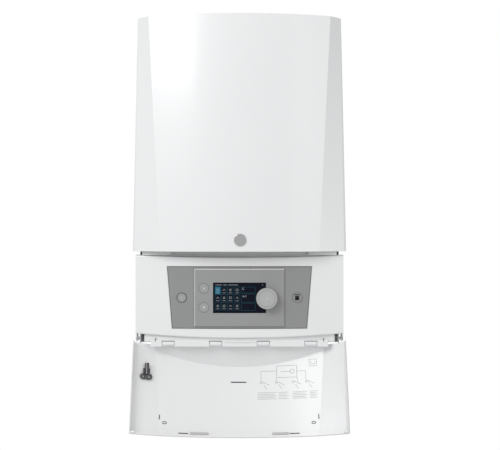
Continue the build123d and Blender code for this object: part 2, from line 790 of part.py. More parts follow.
# Display module, a raised frame with a stepped window for the screen and holes for keys and shaft
module_front = HOUSING_FRONT - MODULE_PROUD
screen_front = HOUSING_FRONT + SCREEN_SUNK
module_back = HOUSING_FRONT + MODULE_DEEP
module_skin = MODULE_PROUD + FASCIA_THICK - FASCIA_PROUD
with BuildPart() as display_module:
    module_outline = panel_rectangle(MODULE_WIDE - CLEAR, MODULE_TALL - CLEAR, 0, PANEL_Z, MODULE_CORNER)
    add(skin(module_front, module_skin, module_outline))
    body_wide = MODULE_WIDE - 2 * MODULE_STEP
    body_tall = MODULE_TALL - 2 * MODULE_STEP
    body_mid = (HOUSING_FRONT + SCREEN_THICK + module_back) / 2
    with Locations((0, body_mid, PANEL_Z)):
        Box(body_wide, MODULE_DEEP - SCREEN_THICK, body_tall)
    well_front = HOUSING_FRONT + SCREEN_THICK + MODULE_PLATE
    with Locations((0, (well_front + module_back) / 2, PANEL_Z)):
        Box(
            body_wide - 2 * MODULE_WALL,
            module_back - well_front,
            body_tall - 2 * MODULE_WALL,
            mode=Mode.SUBTRACT,
        )
    # window, with a ledge that the screen lies on
    with Locations((0, screen_front + SCREEN_THICK - MODULE_DEEP, PANEL_Z)):
        Box(SCREEN_WIDE, 2 * MODULE_DEEP, SCREEN_TALL, mode=Mode.SUBTRACT)
    with Locations((0, HOUSING_FRONT, PANEL_Z)):
        Box(SCREEN_WIDE - 2 * SCREEN_LEDGE, 2 * BODY_DEEP, SCREEN_TALL - 2 * SCREEN_LEDGE, mode=Mode.SUBTRACT)
    with BuildSketch(behind_panel):
        with Locations((KNOB_X, KNOB_Z)):
            Circle(SHAFT_R + SHAFT_HOLE)
        with Locations((KEY_X, PANEL_Z + KEY_RISE), (KEY_X, PANEL_Z - KEY_RISE)):
            Circle(KEY_R + KEY_GAP)
    extrude(amount=2 * BODY_DEEP, mode=Mode.SUBTRACT)
display_module.part.label = "display_module"
export_step(display_module.part, "parts/display_module.step")

# Screen in the module's window, with a notch for the knob's shaft
with BuildPart() as display_screen:
    with Locations((0, screen_front + SCREEN_THICK / 2, PANEL_Z)):
        Box(SCREEN_WIDE - CLEAR, SCREEN_THICK, SCREEN_TALL - CLEAR)
    with BuildSketch(behind_panel):
        with Locations((KNOB_X, KNOB_Z)):
            Circle(SHAFT_R + SHAFT_HOLE)
    extrude(amount=2 * BODY_DEEP, mode=Mode.SUBTRACT)
display_screen.part.label = "display_screen"
export_step(display_screen.part, "parts/display_screen.step")

# Rotary knob with a ring line on its face and a hollow hub for the shaft
knob_back = module_front - KNOB_GAP
knob_plane = Plane.XZ.offset(-knob_back)
with BuildPart() as rotary_knob:
    with BuildSketch(knob_plane):
        with Locations((KNOB_X, KNOB_Z)):
            Circle(KNOB_R)
    extrude(amount=KNOB_DEEP, taper=KNOB_TAPER)
    rim = rotary_knob.faces().sort_by(Axis.Y)[0].edges()
    fillet(rim, radius=KNOB_ROUND)
    with BuildSketch(knob_plane.offset(KNOB_DEEP)):
        with Locations((KNOB_X, KNOB_Z)):
            Circle(KNOB_R - KNOB_RING)
            Circle(KNOB_R - KNOB_RING - KNOB_RING_WIDE, mode=Mode.SUBTRACT)
    extrude(amount=-KNOB_RING_DEEP, mode=Mode.SUBTRACT)
    with BuildSketch(knob_plane):
        with Locations((KNOB_X, KNOB_Z)):
            Circle(KNOB_R - KNOB_WALL)
            Circle(SHAFT_R + SHAFT_WALL, mode=Mode.SUBTRACT)
    extrude(amount=KNOB_DEEP - KNOB_TOP, mode=Mode.SUBTRACT)
    with BuildSketch(knob_plane):
        with Locations((KNOB_X, KNOB_Z)):
            Circle(SHAFT_R + RUNNING_GAP)
    extrude(amount=KNOB_DEEP - KNOB_TOP - KNOB_RING_DEEP, mode=Mode.SUBTRACT)
rotary_knob.part.label = "rotary_knob"
export_step(rotary_knob.part, "parts/rotary_knob.step")

# Encoder in the module's well: square can on the plate, round shaft through it
encoder_front = well_front
shaft_long = encoder_front - knob_back + KNOB_DEEP - KNOB_TOP - KNOB_RING_DEEP - SHAFT_TIP
with BuildPart() as encoder:
    with Locations((KNOB_X, encoder_front + ENCODER_DEEP / 2, KNOB_Z)):
        Box(ENCODER_WIDE, ENCODER_DEEP, ENCODER_WIDE)
    with BuildSketch(Plane.XZ.offset(-encoder_front)):
        with Locations((KNOB_X, KNOB_Z)):
            Circle(SHAFT_R)
    extrude(amount=shaft_long)
encoder.part.label = "encoder"
export_step(encoder.part, "parts/encoder.step")

key_front = module_front + KEY_SHY - KEY_PROUD


def round_key(x_place, z_place, radius, front, deep):
    """Cap with a rounded rim and a narrower stem behind it."""
    with BuildPart() as key:
        with BuildSketch(Plane.XZ.offset(-front - deep)):
            with Locations((x_place, z_place)):
                Circle(radius)
        extrude(amount=deep)
        fillet(key.faces().sort_by(Axis.Y)[0].edges(), radius=KEY_ROUND)
        with BuildSketch(Plane.XZ.offset(-front - deep)):
            with Locations((x_place, z_place)):
                Circle(radius / 2)
        extrude(amount=-KEY_STEM)
    return key.part


# Two round keys of the module
with BuildPart() as upper_key:
    add(round_key(KEY_X, PANEL_Z + KEY_RISE, KEY_R, key_front, KEY_DEEP))
upper_key.part.label = "upper_key"
export_step(upper_key.part, "parts/upper_key.step")
with BuildPart() as lower_key:
    add(round_key(KEY_X, PANEL_Z - KEY_RISE, KEY_R, key_front, KEY_DEEP))
lower_key.part.label = "lower_key"
export_step(lower_key.part, "parts/lower_key.step")

# Power button inside a fixed collar
button_front = housing_y(POWER_X) - POWER_PROUD
collar_plane = Plane.XZ.offset(-button_front - COLLAR_BACK)
with BuildPart() as power_collar:
    with BuildSketch(collar_plane):
        with Locations((POWER_X, PANEL_Z)):
            Circle(SOCKET_R)
            Circle(POWER_R + COLLAR_GAP, mode=Mode.SUBTRACT)
    extrude(amount=COLLAR_DEEP)
power_collar.part.label = "power_collar"
export_step(power_collar.part, "parts/power_collar.step")
with BuildPart() as power_button:
    add(round_key(POWER_X, PANEL_Z, POWER_R, button_front, POWER_DEEP))
power_button.part.label = "power_button"
export_step(power_button.part, "parts/power_button.step")

# Service socket: round body with a square opening and a bar above it
with BuildPart() as service_socket:
    with BuildSketch(collar_plane):
        with Locations((SOCKET_X, PANEL_Z)):
            Circle(SOCKET_R)
    extrude(amount=COLLAR_DEEP)
    with BuildSketch(Plane.XZ.offset(-button_front - SOCKET_DEEP)):
        with Locations((SOCKET_X, PANEL_Z - SOCKET_DROP)):
            Rectangle(SOCKET_SLOT, SOCKET_SLOT)
        with Locations((SOCKET_X, PANEL_Z + SOCKET_SLOT / 2 + SOCKET_BAR_RISE)):
            Rectangle(SOCKET_SLOT + SOCKET_BAR, SOCKET_BAR)
    extrude(amount=COLLAR_BACK, mode=Mode.SUBTRACT)
service_socket.part.label = "service_socket"
export_step(service_socket.part, "parts/service_socket.step")

# Cover across the back of the housing, with posts that carry the board
board_front = HOUSING_FRONT + BOARD_SET_BACK
board_back = board_front + BOARD_THICK
cover_half = inner_half - COVER_SIDE
post_x = BOARD_WIDE / 2 - 3 * POST_R
post_z = BOARD_TALL / 2 - 3 * POST_R
with BuildPart() as control_board:
    with Locations((0, (board_front + board_back) / 2, PANEL_Z)):
        Box(BOARD_WIDE, BOARD_THICK, BOARD_TALL)
    # relays and terminal blocks on the side of the cover
    with BuildSketch(Plane.XZ.offset(-board_back)):
        relay_x = BOARD_WIDE / 5
        relay_z = BOARD_TALL / 5
        with Locations((-relay_x, PANEL_Z + relay_z), (relay_x, PANEL_Z - relay_z)):
            Rectangle(BOARD_WIDE / 8, relay_z)
        with Locations((BOARD_WIDE / 3, PANEL_Z + relay_z)):
            Rectangle(BOARD_WIDE / 12, BOARD_TALL / 12)
    extrude(amount=-5 * BOARD_THICK)
control_board.part.label = "control_board"
export_step(control_board.part, "parts/control_board.step")

with BuildPart() as housing_cover:
    with Locations((0, HOUSING_BACK + COVER_THICK / 2, (HOUSING_FOOT + HOUSING_TOP) / 2)):
        Box(2 * cover_half, COVER_THICK, housing_tall)
    with BuildSketch(Plane.XZ.offset(-HOUSING_BACK)):
        with Locations((0, PANEL_Z)):
            with GridLocations(2 * post_x, 2 * post_z, 2, 2):
                Circle(POST_R)
    extrude(amount=HOUSING_BACK - board_back)
    # two stiffening ribs
    with BuildSketch(Plane.XZ.offset(-HOUSING_BACK - COVER_THICK)):
        with Locations((0, PANEL_Z)):
            with GridLocations(COVER_RIB_STEP, 0, 2, 1):
                Rectangle(COVER_RIB_WIDE, COVER_RIB_TALL)
    extrude(amount=-COVER_THICK)
housing_cover.part.label = "housing_cover"
export_step(housing_cover.part, "parts/housing_cover.step")

# Wall bracket: plate with bolt slots, a shelf and an upturned lip
inner_wall = JACKET_HALF - SHEET
bracket_foot = TOP_PANEL_Z - BRACKET_DROP
bracket_top = bracket_foot + BRACKET_TALL
shelf_foot = bracket_top - BRACKET_THICK
lip_top = bracket_top + BRACKET_LIP
bolt_z = bracket_top - BOLT_DROP
with BuildPart() as wall_bracket:
    with BuildSketch(Plane.YZ):
        with BuildLine():
            Polyline(
                (0, bracket_foot),
                (0, bracket_top),
                (BRACKET_THICK - BRACKET_SHELF, bracket_top),
                (BRACKET_THICK - BRACKET_SHELF, lip_top),
                (-BRACKET_SHELF, lip_top),
                (-BRACKET_SHELF, shelf_foot),
                (-BRACKET_THICK, shelf_foot),
                (-BRACKET_THICK, bracket_foot),
                close=True,
            )
        make_face()
    extrude(amount=BRACKET_HALF, both=True)
    with BuildSketch(Plane.XZ):
        with Locations((-BOLT_HALF_SPACING, bolt_z), (BOLT_HALF_SPACING, bolt_z)):
            SlotOverall(BOLT_SLOT, BOLT_WIDE)
    extrude(amount=BRACKET_THICK, mode=Mode.SUBTRACT)
wall_bracket.part.label = "wall_bracket"
export_step(wall_bracket.part, "parts/wall_bracket.step")

# Back panel: sheet with a window, and a hood that hangs on the bracket's lip
hood_half = BRACKET_HALF + HOOD_SIDE
hood_foot = bracket_foot - HOOD_GAP
hood_front = -BRACKET_SHELF - HOOD_SHEET - HOOD_GAP / 2
with BuildPart() as back_panel:
    with Locations((0, -BACK_SHEET / 2, (TOP_PANEL_Z - BACK_DROP) / 2)):
        Box(2 * (inner_wall - CLEAR), BACK_SHEET, TOP_PANEL_Z + BACK_DROP)
    corner_edges = back_panel.edges().filter_by(Axis.Y).group_by(Axis.Z)[0]
    chamfer(corner_edges, length=BACK_CORNER)
    with Locations((0, -BACK_SHEET / 2, (hood_foot + lip_top) / 2)):
        Box(2 * hood_half, BACK_SHEET, lip_top - hood_foot, mode=Mode.SUBTRACT)
    with BuildSketch(Plane.YZ):
        with BuildLine():
            Polyline(
                (0, lip_top),
                (0, lip_top + HOOD_SHEET),
                (hood_front, lip_top + HOOD_SHEET),
                (hood_front, hood_foot - HOOD_SHEET),
                (0, hood_foot - HOOD_SHEET),
                (0, hood_foot),
                (hood_front + HOOD_SHEET, hood_foot),
                (hood_front + HOOD_SHEET, lip_top),
                close=True,
            )
        make_face()
    extrude(amount=hood_half, both=True)
back_panel.part.label = "back_panel"
export_step(back_panel.part, "parts/back_panel.step")

# Two side panels: web, front flange behind the casing seal, and louvres
tray_front = JACKET_FRONT + TRAY_SET_BACK
jacket_mid = (JACKET_FRONT - BACK_SHEET) / 2
jacket_deep = -JACKET_FRONT - BACK_SHEET
for side, name in ((-1, "side_panel_left"), (1, "side_panel_right")):
    with BuildPart() as side_panel:
        with Locations((side * (JACKET_HALF - SHEET / 2), jacket_mid, TOP_PANEL_Z / 2)):
            Box(SHEET, jacket_deep, TOP_PANEL_Z)
        flange_x = side * (inner_wall - JACKET_FLANGE / 2)
        with Locations((flange_x, JACKET_FRONT + SHEET / 2, (CASING_BOTTOM + TOP_PANEL_Z) / 2)):
            Box(JACKET_FLANGE, SHEET, TOP_PANEL_Z - CASING_BOTTOM)
        with Locations((flange_x, -BACK_SHEET - SHEET / 2, TOP_PANEL_Z / 2)):
            Box(JACKET_FLANGE, SHEET, TOP_PANEL_Z)
        with BuildSketch(Plane.YZ.offset(side * inner_wall)):
            for middle in (GRIP_LOW, TOP_PANEL_Z - GRIP_DROP):
                with Locations((-GRIP_BACK, middle)):
                    with GridLocations(GRIP_LONG, GRIP_STEP, 1, 3):
                        SlotOverall(GRIP_LONG, GRIP_TALL)
        extrude(amount=side * SHEET, mode=Mode.SUBTRACT)
    side_panel.part.label = name
    export_step(side_panel.part, "parts/" + name + ".step")

# Two brackets inside the side panels, with the pins that the control housing tilts on
with BuildPart() as pivot_brackets:
    for side in (-1, 1):
        plate_x = side * (inner_wall - PIVOT_PLATE / 2)
        with Locations((plate_x, PIVOT_Y + (PIVOT_TAIL - PIVOT_NOSE) / 2, PIVOT_Z + TAB_CLEAR)):
            Box(PIVOT_PLATE, PIVOT_TAIL + PIVOT_NOSE, PIVOT_PLATE_TALL)
        with BuildSketch(Plane.YZ.offset(side * (inner_wall - PIVOT_PLATE))):
            with Locations((PIVOT_Y, PIVOT_Z)):
                Circle(PIVOT_R)
        extrude(amount=side * (HOUSING_HALF - inner_wall + PIVOT_PLATE))
pivot_brackets.part.label = "pivot_brackets"
export_step(pivot_brackets.part, "parts/pivot_brackets.step")

# Roof and tray of the jacket
roof_plane = Plane.XY.offset(TOP_PANEL_Z)
with BuildPart() as top_panel:
    with Locations((0, jacket_mid, TOP_PANEL_Z + ROOF_SHEET / 2)):
        Box(2 * JACKET_HALF, jacket_deep, ROOF_SHEET)
    with BuildSketch(roof_plane):
        with Locations((FLUE_X, FLUE_Y)):
            Circle(ROOF_HOLE_R)
        for x_place in (-ROOF_SLOT_X, ROOF_SLOT_X):
            with Locations((x_place, -ROOF_SLOT_BACK)):
                with GridLocations(ROOF_SLOT_LONG, ROOF_SLOT_STEP, 1, 3):
                    SlotOverall(ROOF_SLOT_LONG, ROOF_SLOT_TALL)
    extrude(amount=ROOF_SHEET, mode=Mode.SUBTRACT)
top_panel.part.label = "top_panel"
export_step(top_panel.part, "parts/top_panel.step")

tray_mid = (tray_front - BACK_SHEET - SHEET) / 2
with BuildPart() as bottom_tray:
    with Locations((0, tray_mid, TRAY_SHEET / 2)):
        Box(2 * inner_wall, -tray_front - BACK_SHEET - SHEET, TRAY_SHEET)
    with Locations((0, tray_front + TRAY_SHEET / 2, TRAY_LIP / 2)):
        Box(2 * (inner_wall - PIVOT_PLATE - CLEAR), TRAY_SHEET, TRAY_LIP)
    with BuildSketch(Plane.XY):
        for label, x_place, radius in STUBS:
            with Locations((x_place, STUB_Y)):
                Circle(radius + STUB_SHOULDER + TRAY_HOLE_GAP)
        with Locations((SIPHON_X, SIPHON_Y)):
            Circle(CUP_R + SIPHON_HOLE_GAP)
        with Locations((-TRAY_SLOT_X, -TRAY_SLOT_BACK), (TRAY_SLOT_X, -TRAY_SLOT_BACK)):
            SlotOverall(TRAY_SLOT_WIDE, TRAY_SLOT_TALL)
    extrude(amount=TRAY_SHEET, mode=Mode.SUBTRACT)
bottom_tray.part.label = "bottom_tray"
export_step(bottom_tray.part, "parts/bottom_tray.step")

# Connections through the tray, tubes with a shoulder and a hexagon nut, grouped by pipe size
tail_top = STUB_FOOT + STUB_TAIL
for name, radius in (("pipe_stubs_22", WIDE_TUBE_R), ("pipe_stubs_15", SLIM_TUBE_R)):
    places = [(x_place, STUB_Y) for label, x_place, stub_radius in STUBS if stub_radius == radius]
    with BuildPart() as stubs:
        with BuildSketch(Plane.XY.offset(STUB_FOOT)):
            with Locations(*places):
                Circle(radius)
        extrude(amount=STUB_TAIL)
        with BuildSketch(Plane.XY.offset(tail_top)):
            with Locations(*places):
                Circle(radius + STUB_SHOULDER)
        extrude(amount=STUB_TOP - tail_top)
        with BuildSketch(Plane.XY.offset(STUB_NUT_Z)):
            with Locations(*places):
                RegularPolygon(radius + STUB_NUT, 6)
        extrude(amount=STUB_NUT_TALL)
        with BuildSketch(Plane.XY.offset(STUB_FOOT)):
            with Locations(*places):
                Circle(radius - STUB_WALL)
        extrude(amount=STUB_TOP - STUB_FOOT, mode=Mode.SUBTRACT)
    stubs.part.label = name
    export_step(stubs.part, "parts/" + name + ".step")

# Casing seal, a rubber frame on the jacket's front flange
seal_foot = CASING_BOTTOM + SEAL_LOW
seal_top = TOP_PANEL_Z - SEAL_HIGH
with BuildPart() as casing_seal:
    with BuildSketch(Plane.XZ.offset(-JACKET_FRONT)):
        with Locations((0, (seal_foot + seal_top) / 2)):
            RectangleRounded(2 * (JACKET_HALF - SEAL_SIDE), seal_top - seal_foot, SEAL_ROUND)
            RectangleRounded(
                2 * (JACKET_HALF - SEAL_SIDE - SEAL_WIDE),
                seal_top - seal_foot - 2 * SEAL_WIDE,
                SEAL_ROUND - SEAL_WIDE / 2,
                mode=Mode.SUBTRACT,
            )
    extrude(amount=SEAL_THICK)
casing_seal.part.label = "casing_seal"
export_step(casing_seal.part, "parts/casing_seal.step")

# Flue collar on the roof with two capped sampling points
flue_plane = Plane.XY.offset(TOP_PANEL_Z + ROOF_SHEET)
flue_top = TOP_PANEL_Z + FLUE_RISE
sample_places = [(FLUE_X - SAMPLE_X, FLUE_Y - SAMPLE_AWAY), (FLUE_X + SAMPLE_X, FLUE_Y - SAMPLE_AWAY)]
with BuildPart() as flue_collar:
    with BuildSketch(flue_plane):
        with Locations((FLUE_X, FLUE_Y)):
            RectangleRounded(COLLAR_WIDE, COLLAR_LONG, COLLAR_CORNER)
            Circle(AIR_R - AIR_WALL, mode=Mode.SUBTRACT)
    extrude(amount=COLLAR_SHEET)
    with BuildSketch(flue_plane.offset(COLLAR_SHEET)):
        with Locations((FLUE_X, FLUE_Y)):
            Circle(AIR_R)
            Circle(AIR_R - AIR_WALL, mode=Mode.SUBTRACT)
    extrude(amount=flue_top - TOP_PANEL_Z - ROOF_SHEET - COLLAR_SHEET)
    with BuildSketch(flue_plane.offset(COLLAR_SHEET)):
        with Locations(*sample_places):
            Circle(SAMPLE_R)
    extrude(amount=SAMPLE_TALL)
flue_collar.part.label = "flue_collar"
export_step(flue_collar.part, "parts/flue_collar.step")
with BuildPart() as sampling_caps:
    with BuildSketch(flue_plane.offset(COLLAR_SHEET + SAMPLE_TALL)):
        with Locations(*sample_places):
            Circle(CAP_R)
    extrude(amount=CAP_TALL)
sampling_caps.part.label = "sampling_caps"
export_step(sampling_caps.part, "parts/sampling_caps.step")


def pipe_between(points, radius, bend):
    """Bent pipe through a row of points."""
    with BuildPart() as pipe:
        with BuildLine() as route:
            FilletPolyline(*points, radius=bend)
        wire = route.wires()[0]
        with BuildSketch(Plane(origin=wire @ 0, z_dir=wire % 0)):
            Circle(radius)
        sweep(path=wire)
    return pipe.part


# Heat exchanger: grooved drum with a front plate, ports, smoke outlet and drain, on three feet
drum_place = (DRUM_X, DRUM_Z)
drum_plane = Plane.XZ.offset(-DRUM_FRONT)
drum_behind = Plane.XZ.offset(-DRUM_BACK)
flow_port_z = DRUM_Z - DRUM_R / 5
return_port_x = DRUM_X + RETURN_OUT
return_port_z = DRUM_Z - RETURN_DROP
smoke_top = DRUM_Z + DRUM_R + SMOKE_RISE
drain_y = DRUM_FRONT + DRUM_DEEP / 2
drain_foot = DRUM_Z - DRUM_R - SMOKE_RISE
foot_places = [
    (DRUM_X - DRUM_FOOT_OUT, DRUM_Z - DRUM_FOOT_DROP),
    (DRUM_X + DRUM_FOOT_OUT, DRUM_Z - DRUM_FOOT_DROP),
    (DRUM_X, DRUM_Z + DRUM_FOOT_RISE),
]
with BuildPart() as heat_exchanger:
    with BuildSketch(drum_behind):
        with Locations(drum_place):
            Circle(DRUM_R)
    extrude(amount=DRUM_DEEP)
    for groove in range(DRUM_GROOVES):
        with BuildSketch(drum_plane.offset(-DRUM_GROOVE_STEP * (groove + 1) - DRUM_GROOVE)):
            with Locations(drum_place):
                Circle(DRUM_R + CLEAR)
                Circle(DRUM_R - DRUM_GROOVE_DEEP, mode=Mode.SUBTRACT)
        extrude(amount=DRUM_GROOVE, mode=Mode.SUBTRACT)
    with BuildSketch(drum_plane):
        with Locations(drum_place):
            Circle(DRUM_R + DRUM_RIM)
    extrude(amount=-DRUM_PLATE)
    with BuildSketch(Plane.XY.offset(DRUM_Z)):
        with Locations((FLUE_X, FLUE_Y)):
            Circle(SMOKE_R)
    extrude(amount=smoke_top - DRUM_Z)
    with BuildSketch(Plane.XY.offset(drain_foot)):
        with Locations((DRUM_X, drain_y)):
            Circle(2 * HOSE_R)
    extrude(amount=DRUM_R)
    with BuildSketch(Plane.YZ.offset(DRUM_X - DRUM_R - PORT_OUT)):
        with Locations((FLUE_Y, flow_port_z)):
            Circle(PORT_R)
    extrude(amount=DRUM_R)
    with BuildSketch(Plane.XY.offset(return_port_z)):
        with Locations((return_port_x, FLUE_Y)):
            Circle(PORT_R)
    extrude(amount=DRUM_R / 2)
    # chamber, open at the front
    with BuildSketch(drum_plane):
        with Locations(drum_place):
            Circle(DRUM_MOUTH_R)
    extrude(amount=DRUM_WALL - DRUM_DEEP, mode=Mode.SUBTRACT)
    with BuildSketch(drum_behind):
        with Locations(*foot_places):
            Circle(DRUM_FOOT_R)
    extrude(amount=DRUM_BACK + BACK_SHEET)
heat_exchanger.part.label = "heat_exchanger"
export_step(heat_exchanger.part, "parts/heat_exchanger.step")

with BuildPart() as combustion_gasket:
    with BuildSketch(drum_plane):
        with Locations(drum_place):
            Circle(GASKET_R)
            Circle(GASKET_MOUTH_R, mode=Mode.SUBTRACT)
    extrude(amount=GASKET_THICK)
combustion_gasket.part.label = "combustion_gasket"
export_step(combustion_gasket.part, "parts/combustion_gasket.step")

# Burner door: round cover with a cast duct that runs across to the fan, and six nuts
door_plane = drum_plane.offset(GASKET_THICK)
door_front = door_plane.offset(DOOR_THICK)
window_places = [(DRUM_X + WINDOW_X, DRUM_Z + WINDOW_Z), (DRUM_X + WINDOW_X, DRUM_Z - WINDOW_Z)]
riser_x = FAN_X - RISER_OFF
duct_left = DRUM_X - DUCT_LEFT
duct_right = riser_x + RISER_WIDE / 2 + DUCT_CORNER
with BuildPart() as burner_door:
    with BuildSketch(door_plane):
        with Locations(drum_place):
            Circle(DOOR_R)
    extrude(amount=DOOR_THICK)
    fillet(burner_door.faces().sort_by(Axis.Y)[0].edges(), radius=DOOR_ROUND)
    with BuildSketch(door_front):
        with Locations(((duct_left + duct_right) / 2, DRUM_Z)):
            RectangleRounded(duct_right - duct_left, DUCT_HIGH, DUCT_CORNER)
    extrude(amount=DUCT_DEEP)
    fillet(burner_door.faces().sort_by(Axis.Y)[0].edges(), radius=DOOR_ROUND)
    with BuildSketch(door_front):
        with Locations(drum_place):
            with PolarLocations(NUT_RING_R, NUTS):
                RegularPolygon(NUT_R, 6)
    extrude(amount=NUT_TALL)
    with BuildSketch(door_plane):
        with Locations(drum_place):
            Circle(BURNER_R + BURNER_FIT)
        with Locations(*window_places):
            Circle(WINDOW_R)
    extrude(amount=DOOR_THICK, mode=Mode.SUBTRACT)
burner_door.part.label = "burner_door"
export_step(burner_door.part, "parts/burner_door.step")

# Burner: perforated tube, drawn plain, closed at its far end, with a flange behind the duct
with BuildPart() as burner:
    with BuildSketch(door_front):
        with Locations(drum_place):
            Circle(BURNER_R)
            Circle(BURNER_R - BURNER_WALL, mode=Mode.SUBTRACT)
    extrude(amount=-BURNER_LONG)
    with BuildSketch(door_front.offset(-BURNER_LONG)):
        with Locations(drum_place):
            Circle(BURNER_R)
    extrude(amount=BURNER_WALL)
burner.part.label = "burner"
export_step(burner.part, "parts/burner.step")

with BuildPart() as ignition_electrode:
    with BuildSketch(door_plane.offset(-ELECTRODE_IN)):
        with Locations(window_places[1]):
            Circle(WINDOW_R - ROD_FIT)
    extrude(amount=ELECTRODE_LONG)
    with BuildSketch(door_front):
        with Locations(window_places[1]):
            Circle(GLASS_RIM_R)
    extrude(amount=GLASS_RIM_THICK)
ignition_electrode.part.label = "ignition_electrode"
export_step(ignition_electrode.part, "parts/ignition_electrode.step")
with BuildPart() as sight_glass:
    with BuildSketch(door_plane):
        with Locations(window_places[0]):
            Circle(WINDOW_R - ROD_FIT)
    extrude(amount=DOOR_THICK)
    with BuildSketch(door_front):
        with Locations(window_places[0]):
            Circle(GLASS_RIM_R)
    extrude(amount=GLASS_RIM_THICK)
sight_glass.part.label = "sight_glass"
export_step(sight_glass.part, "parts/sight_glass.step")

# Spark generator on the left side panel
spark_x = SPARK_WIDE / 2 - inner_wall
spark_y = JACKET_FRONT + SPARK_SET_BACK
spark_z = DRUM_Z - SPARK_DROP
with BuildPart() as spark_generator:
    with Locations((spark_x, spark_y, spark_z)):
        Box(SPARK_WIDE, SPARK_DEEP, SPARK_TALL)
    with Locations((spark_x, spark_y, spark_z + (SPARK_TALL + SPARK_PLUG_TALL) / 2)):
        Box(SPARK_PLUG, SPARK_PLUG, SPARK_PLUG_TALL)
spark_generator.part.label = "spark_generator"
export_step(spark_generator.part, "parts/spark_generator.step")

# Flue pipe from the smoke outlet up through the collar
with BuildPart() as flue_pipe:
    with BuildSketch(Plane.XY.offset(smoke_top)):
        with Locations((FLUE_X, FLUE_Y)):
            Circle(FLUE_R)
    extrude(amount=flue_top - smoke_top - FLUE_SHY)
    with BuildSketch(Plane.XY.offset(smoke_top)):
        with Locations((FLUE_X, FLUE_Y)):
            Circle(FLUE_SOCKET_R)
    extrude(amount=FLUE_SOCKET_LONG)
    with BuildSketch(Plane.XY.offset(smoke_top)):
        with Locations((FLUE_X, FLUE_Y)):
            Circle(FLUE_R - FLUE_WALL)
    extrude(amount=flue_top - smoke_top, mode=Mode.SUBTRACT)
flue_pipe.part.label = "flue_pipe"
export_step(flue_pipe.part, "parts/flue_pipe.step")

# Fan: volute with a square outlet and a riser to the duct, impeller, motor, venturi
fan_place = (FAN_X, FAN_Y)
fan_plane = Plane.XY.offset(FAN_Z)
duct_front = DRUM_FRONT - GASKET_THICK - DOOR_THICK - DUCT_DEEP
riser_top = DRUM_Z - DUCT_HIGH / 2
with BuildPart() as fan_housing:
    with BuildSketch(fan_plane):
        with Locations(fan_place):
            Circle(FAN_R)
        with Locations((riser_x, duct_front + FAN_OUTLET / 2)):
            Rectangle(FAN_OUTLET, FAN_OUTLET)
    extrude(amount=FAN_TALL)
    with BuildSketch(fan_plane.offset(FAN_TALL)):
        with Locations((riser_x, duct_front + RISER_DEEP / 2)):
            Rectangle(RISER_WIDE, RISER_DEEP)
    extrude(amount=riser_top - FAN_Z - FAN_TALL)
    with BuildSketch(fan_plane.offset(FAN_WALL)):
        with Locations(fan_place):
            Circle(FAN_R - 2 * FAN_WALL)
    extrude(amount=FAN_TALL, mode=Mode.SUBTRACT)
    with BuildSketch(fan_plane):
        with Locations(fan_place):
            Circle(FAN_EYE_R)
    extrude(amount=FAN_WALL, mode=Mode.SUBTRACT)
fan_housing.part.label = "fan_housing"
export_step(fan_housing.part, "parts/fan_housing.step")

impeller_plane = fan_plane.offset(IMPELLER_LIFT)
with BuildPart() as fan_impeller:
    with BuildSketch(impeller_plane.offset(IMPELLER_TALL)):
        with Locations(fan_place):
            Circle(IMPELLER_R)
    extrude(amount=IMPELLER_PLATE)
    with BuildSketch(impeller_plane):
        with Locations(fan_place):
            Circle(IMPELLER_HUB_R)
    extrude(amount=IMPELLER_TALL)
    with BuildSketch(impeller_plane):
        with Locations(fan_place):
            with PolarLocations(IMPELLER_R - IMPELLER_BLADE / 2 - CLEAR, BLADES):
                Rectangle(IMPELLER_BLADE, BLADE_THICK)
    extrude(amount=IMPELLER_TALL)
    with BuildSketch(impeller_plane):
        with Locations(fan_place):
            Circle(SHAFT_R + RUNNING_GAP)
    extrude(amount=IMPELLER_TALL + IMPELLER_PLATE, mode=Mode.SUBTRACT)
fan_impeller.part.label = "fan_impeller"
export_step(fan_impeller.part, "parts/fan_impeller.step")

motor_plane = fan_plane.offset(FAN_TALL)
with BuildPart() as fan_motor:
    with BuildSketch(motor_plane):
        with Locations(fan_place):
            Circle(FLANGE_R)
    extrude(amount=FLANGE_THICK)
    with BuildSketch(motor_plane.offset(FLANGE_THICK)):
        with Locations(fan_place):
            Circle(MOTOR_R)
    extrude(amount=MOTOR_TALL, taper=MOTOR_TAPER)
    with BuildSketch(motor_plane):
        with Locations(fan_place):
            Circle(SHAFT_R)
    extrude(amount=IMPELLER_LIFT + IMPELLER_PLATE - FAN_TALL)
fan_motor.part.label = "fan_motor"
export_step(fan_motor.part, "parts/fan_motor.step")

nozzle_x = FAN_X - NOZZLE_REACH
with BuildPart() as venturi:
    with BuildSketch(fan_plane):
        with Locations(fan_place):
            Circle(VENTURI_FLANGE_R)
    extrude(amount=-VENTURI_FLANGE)
    with BuildSketch(fan_plane):
        with Locations(fan_place):
            Circle(VENTURI_R)
    extrude(amount=-VENTURI_LONG)
    with BuildSketch(Plane.YZ.offset(nozzle_x)):
        with Locations((FAN_Y, FAN_Z - NOZZLE_DROP)):
            Circle(NOZZLE_R)
    extrude(amount=NOZZLE_REACH)
    with BuildSketch(fan_plane):
        with Locations(fan_place):
            Circle(VENTURI_MOUTH_R)
    extrude(amount=-VENTURI_LONG, mode=Mode.SUBTRACT)
venturi.part.label = "venturi"
export_step(venturi.part, "parts/venturi.step")

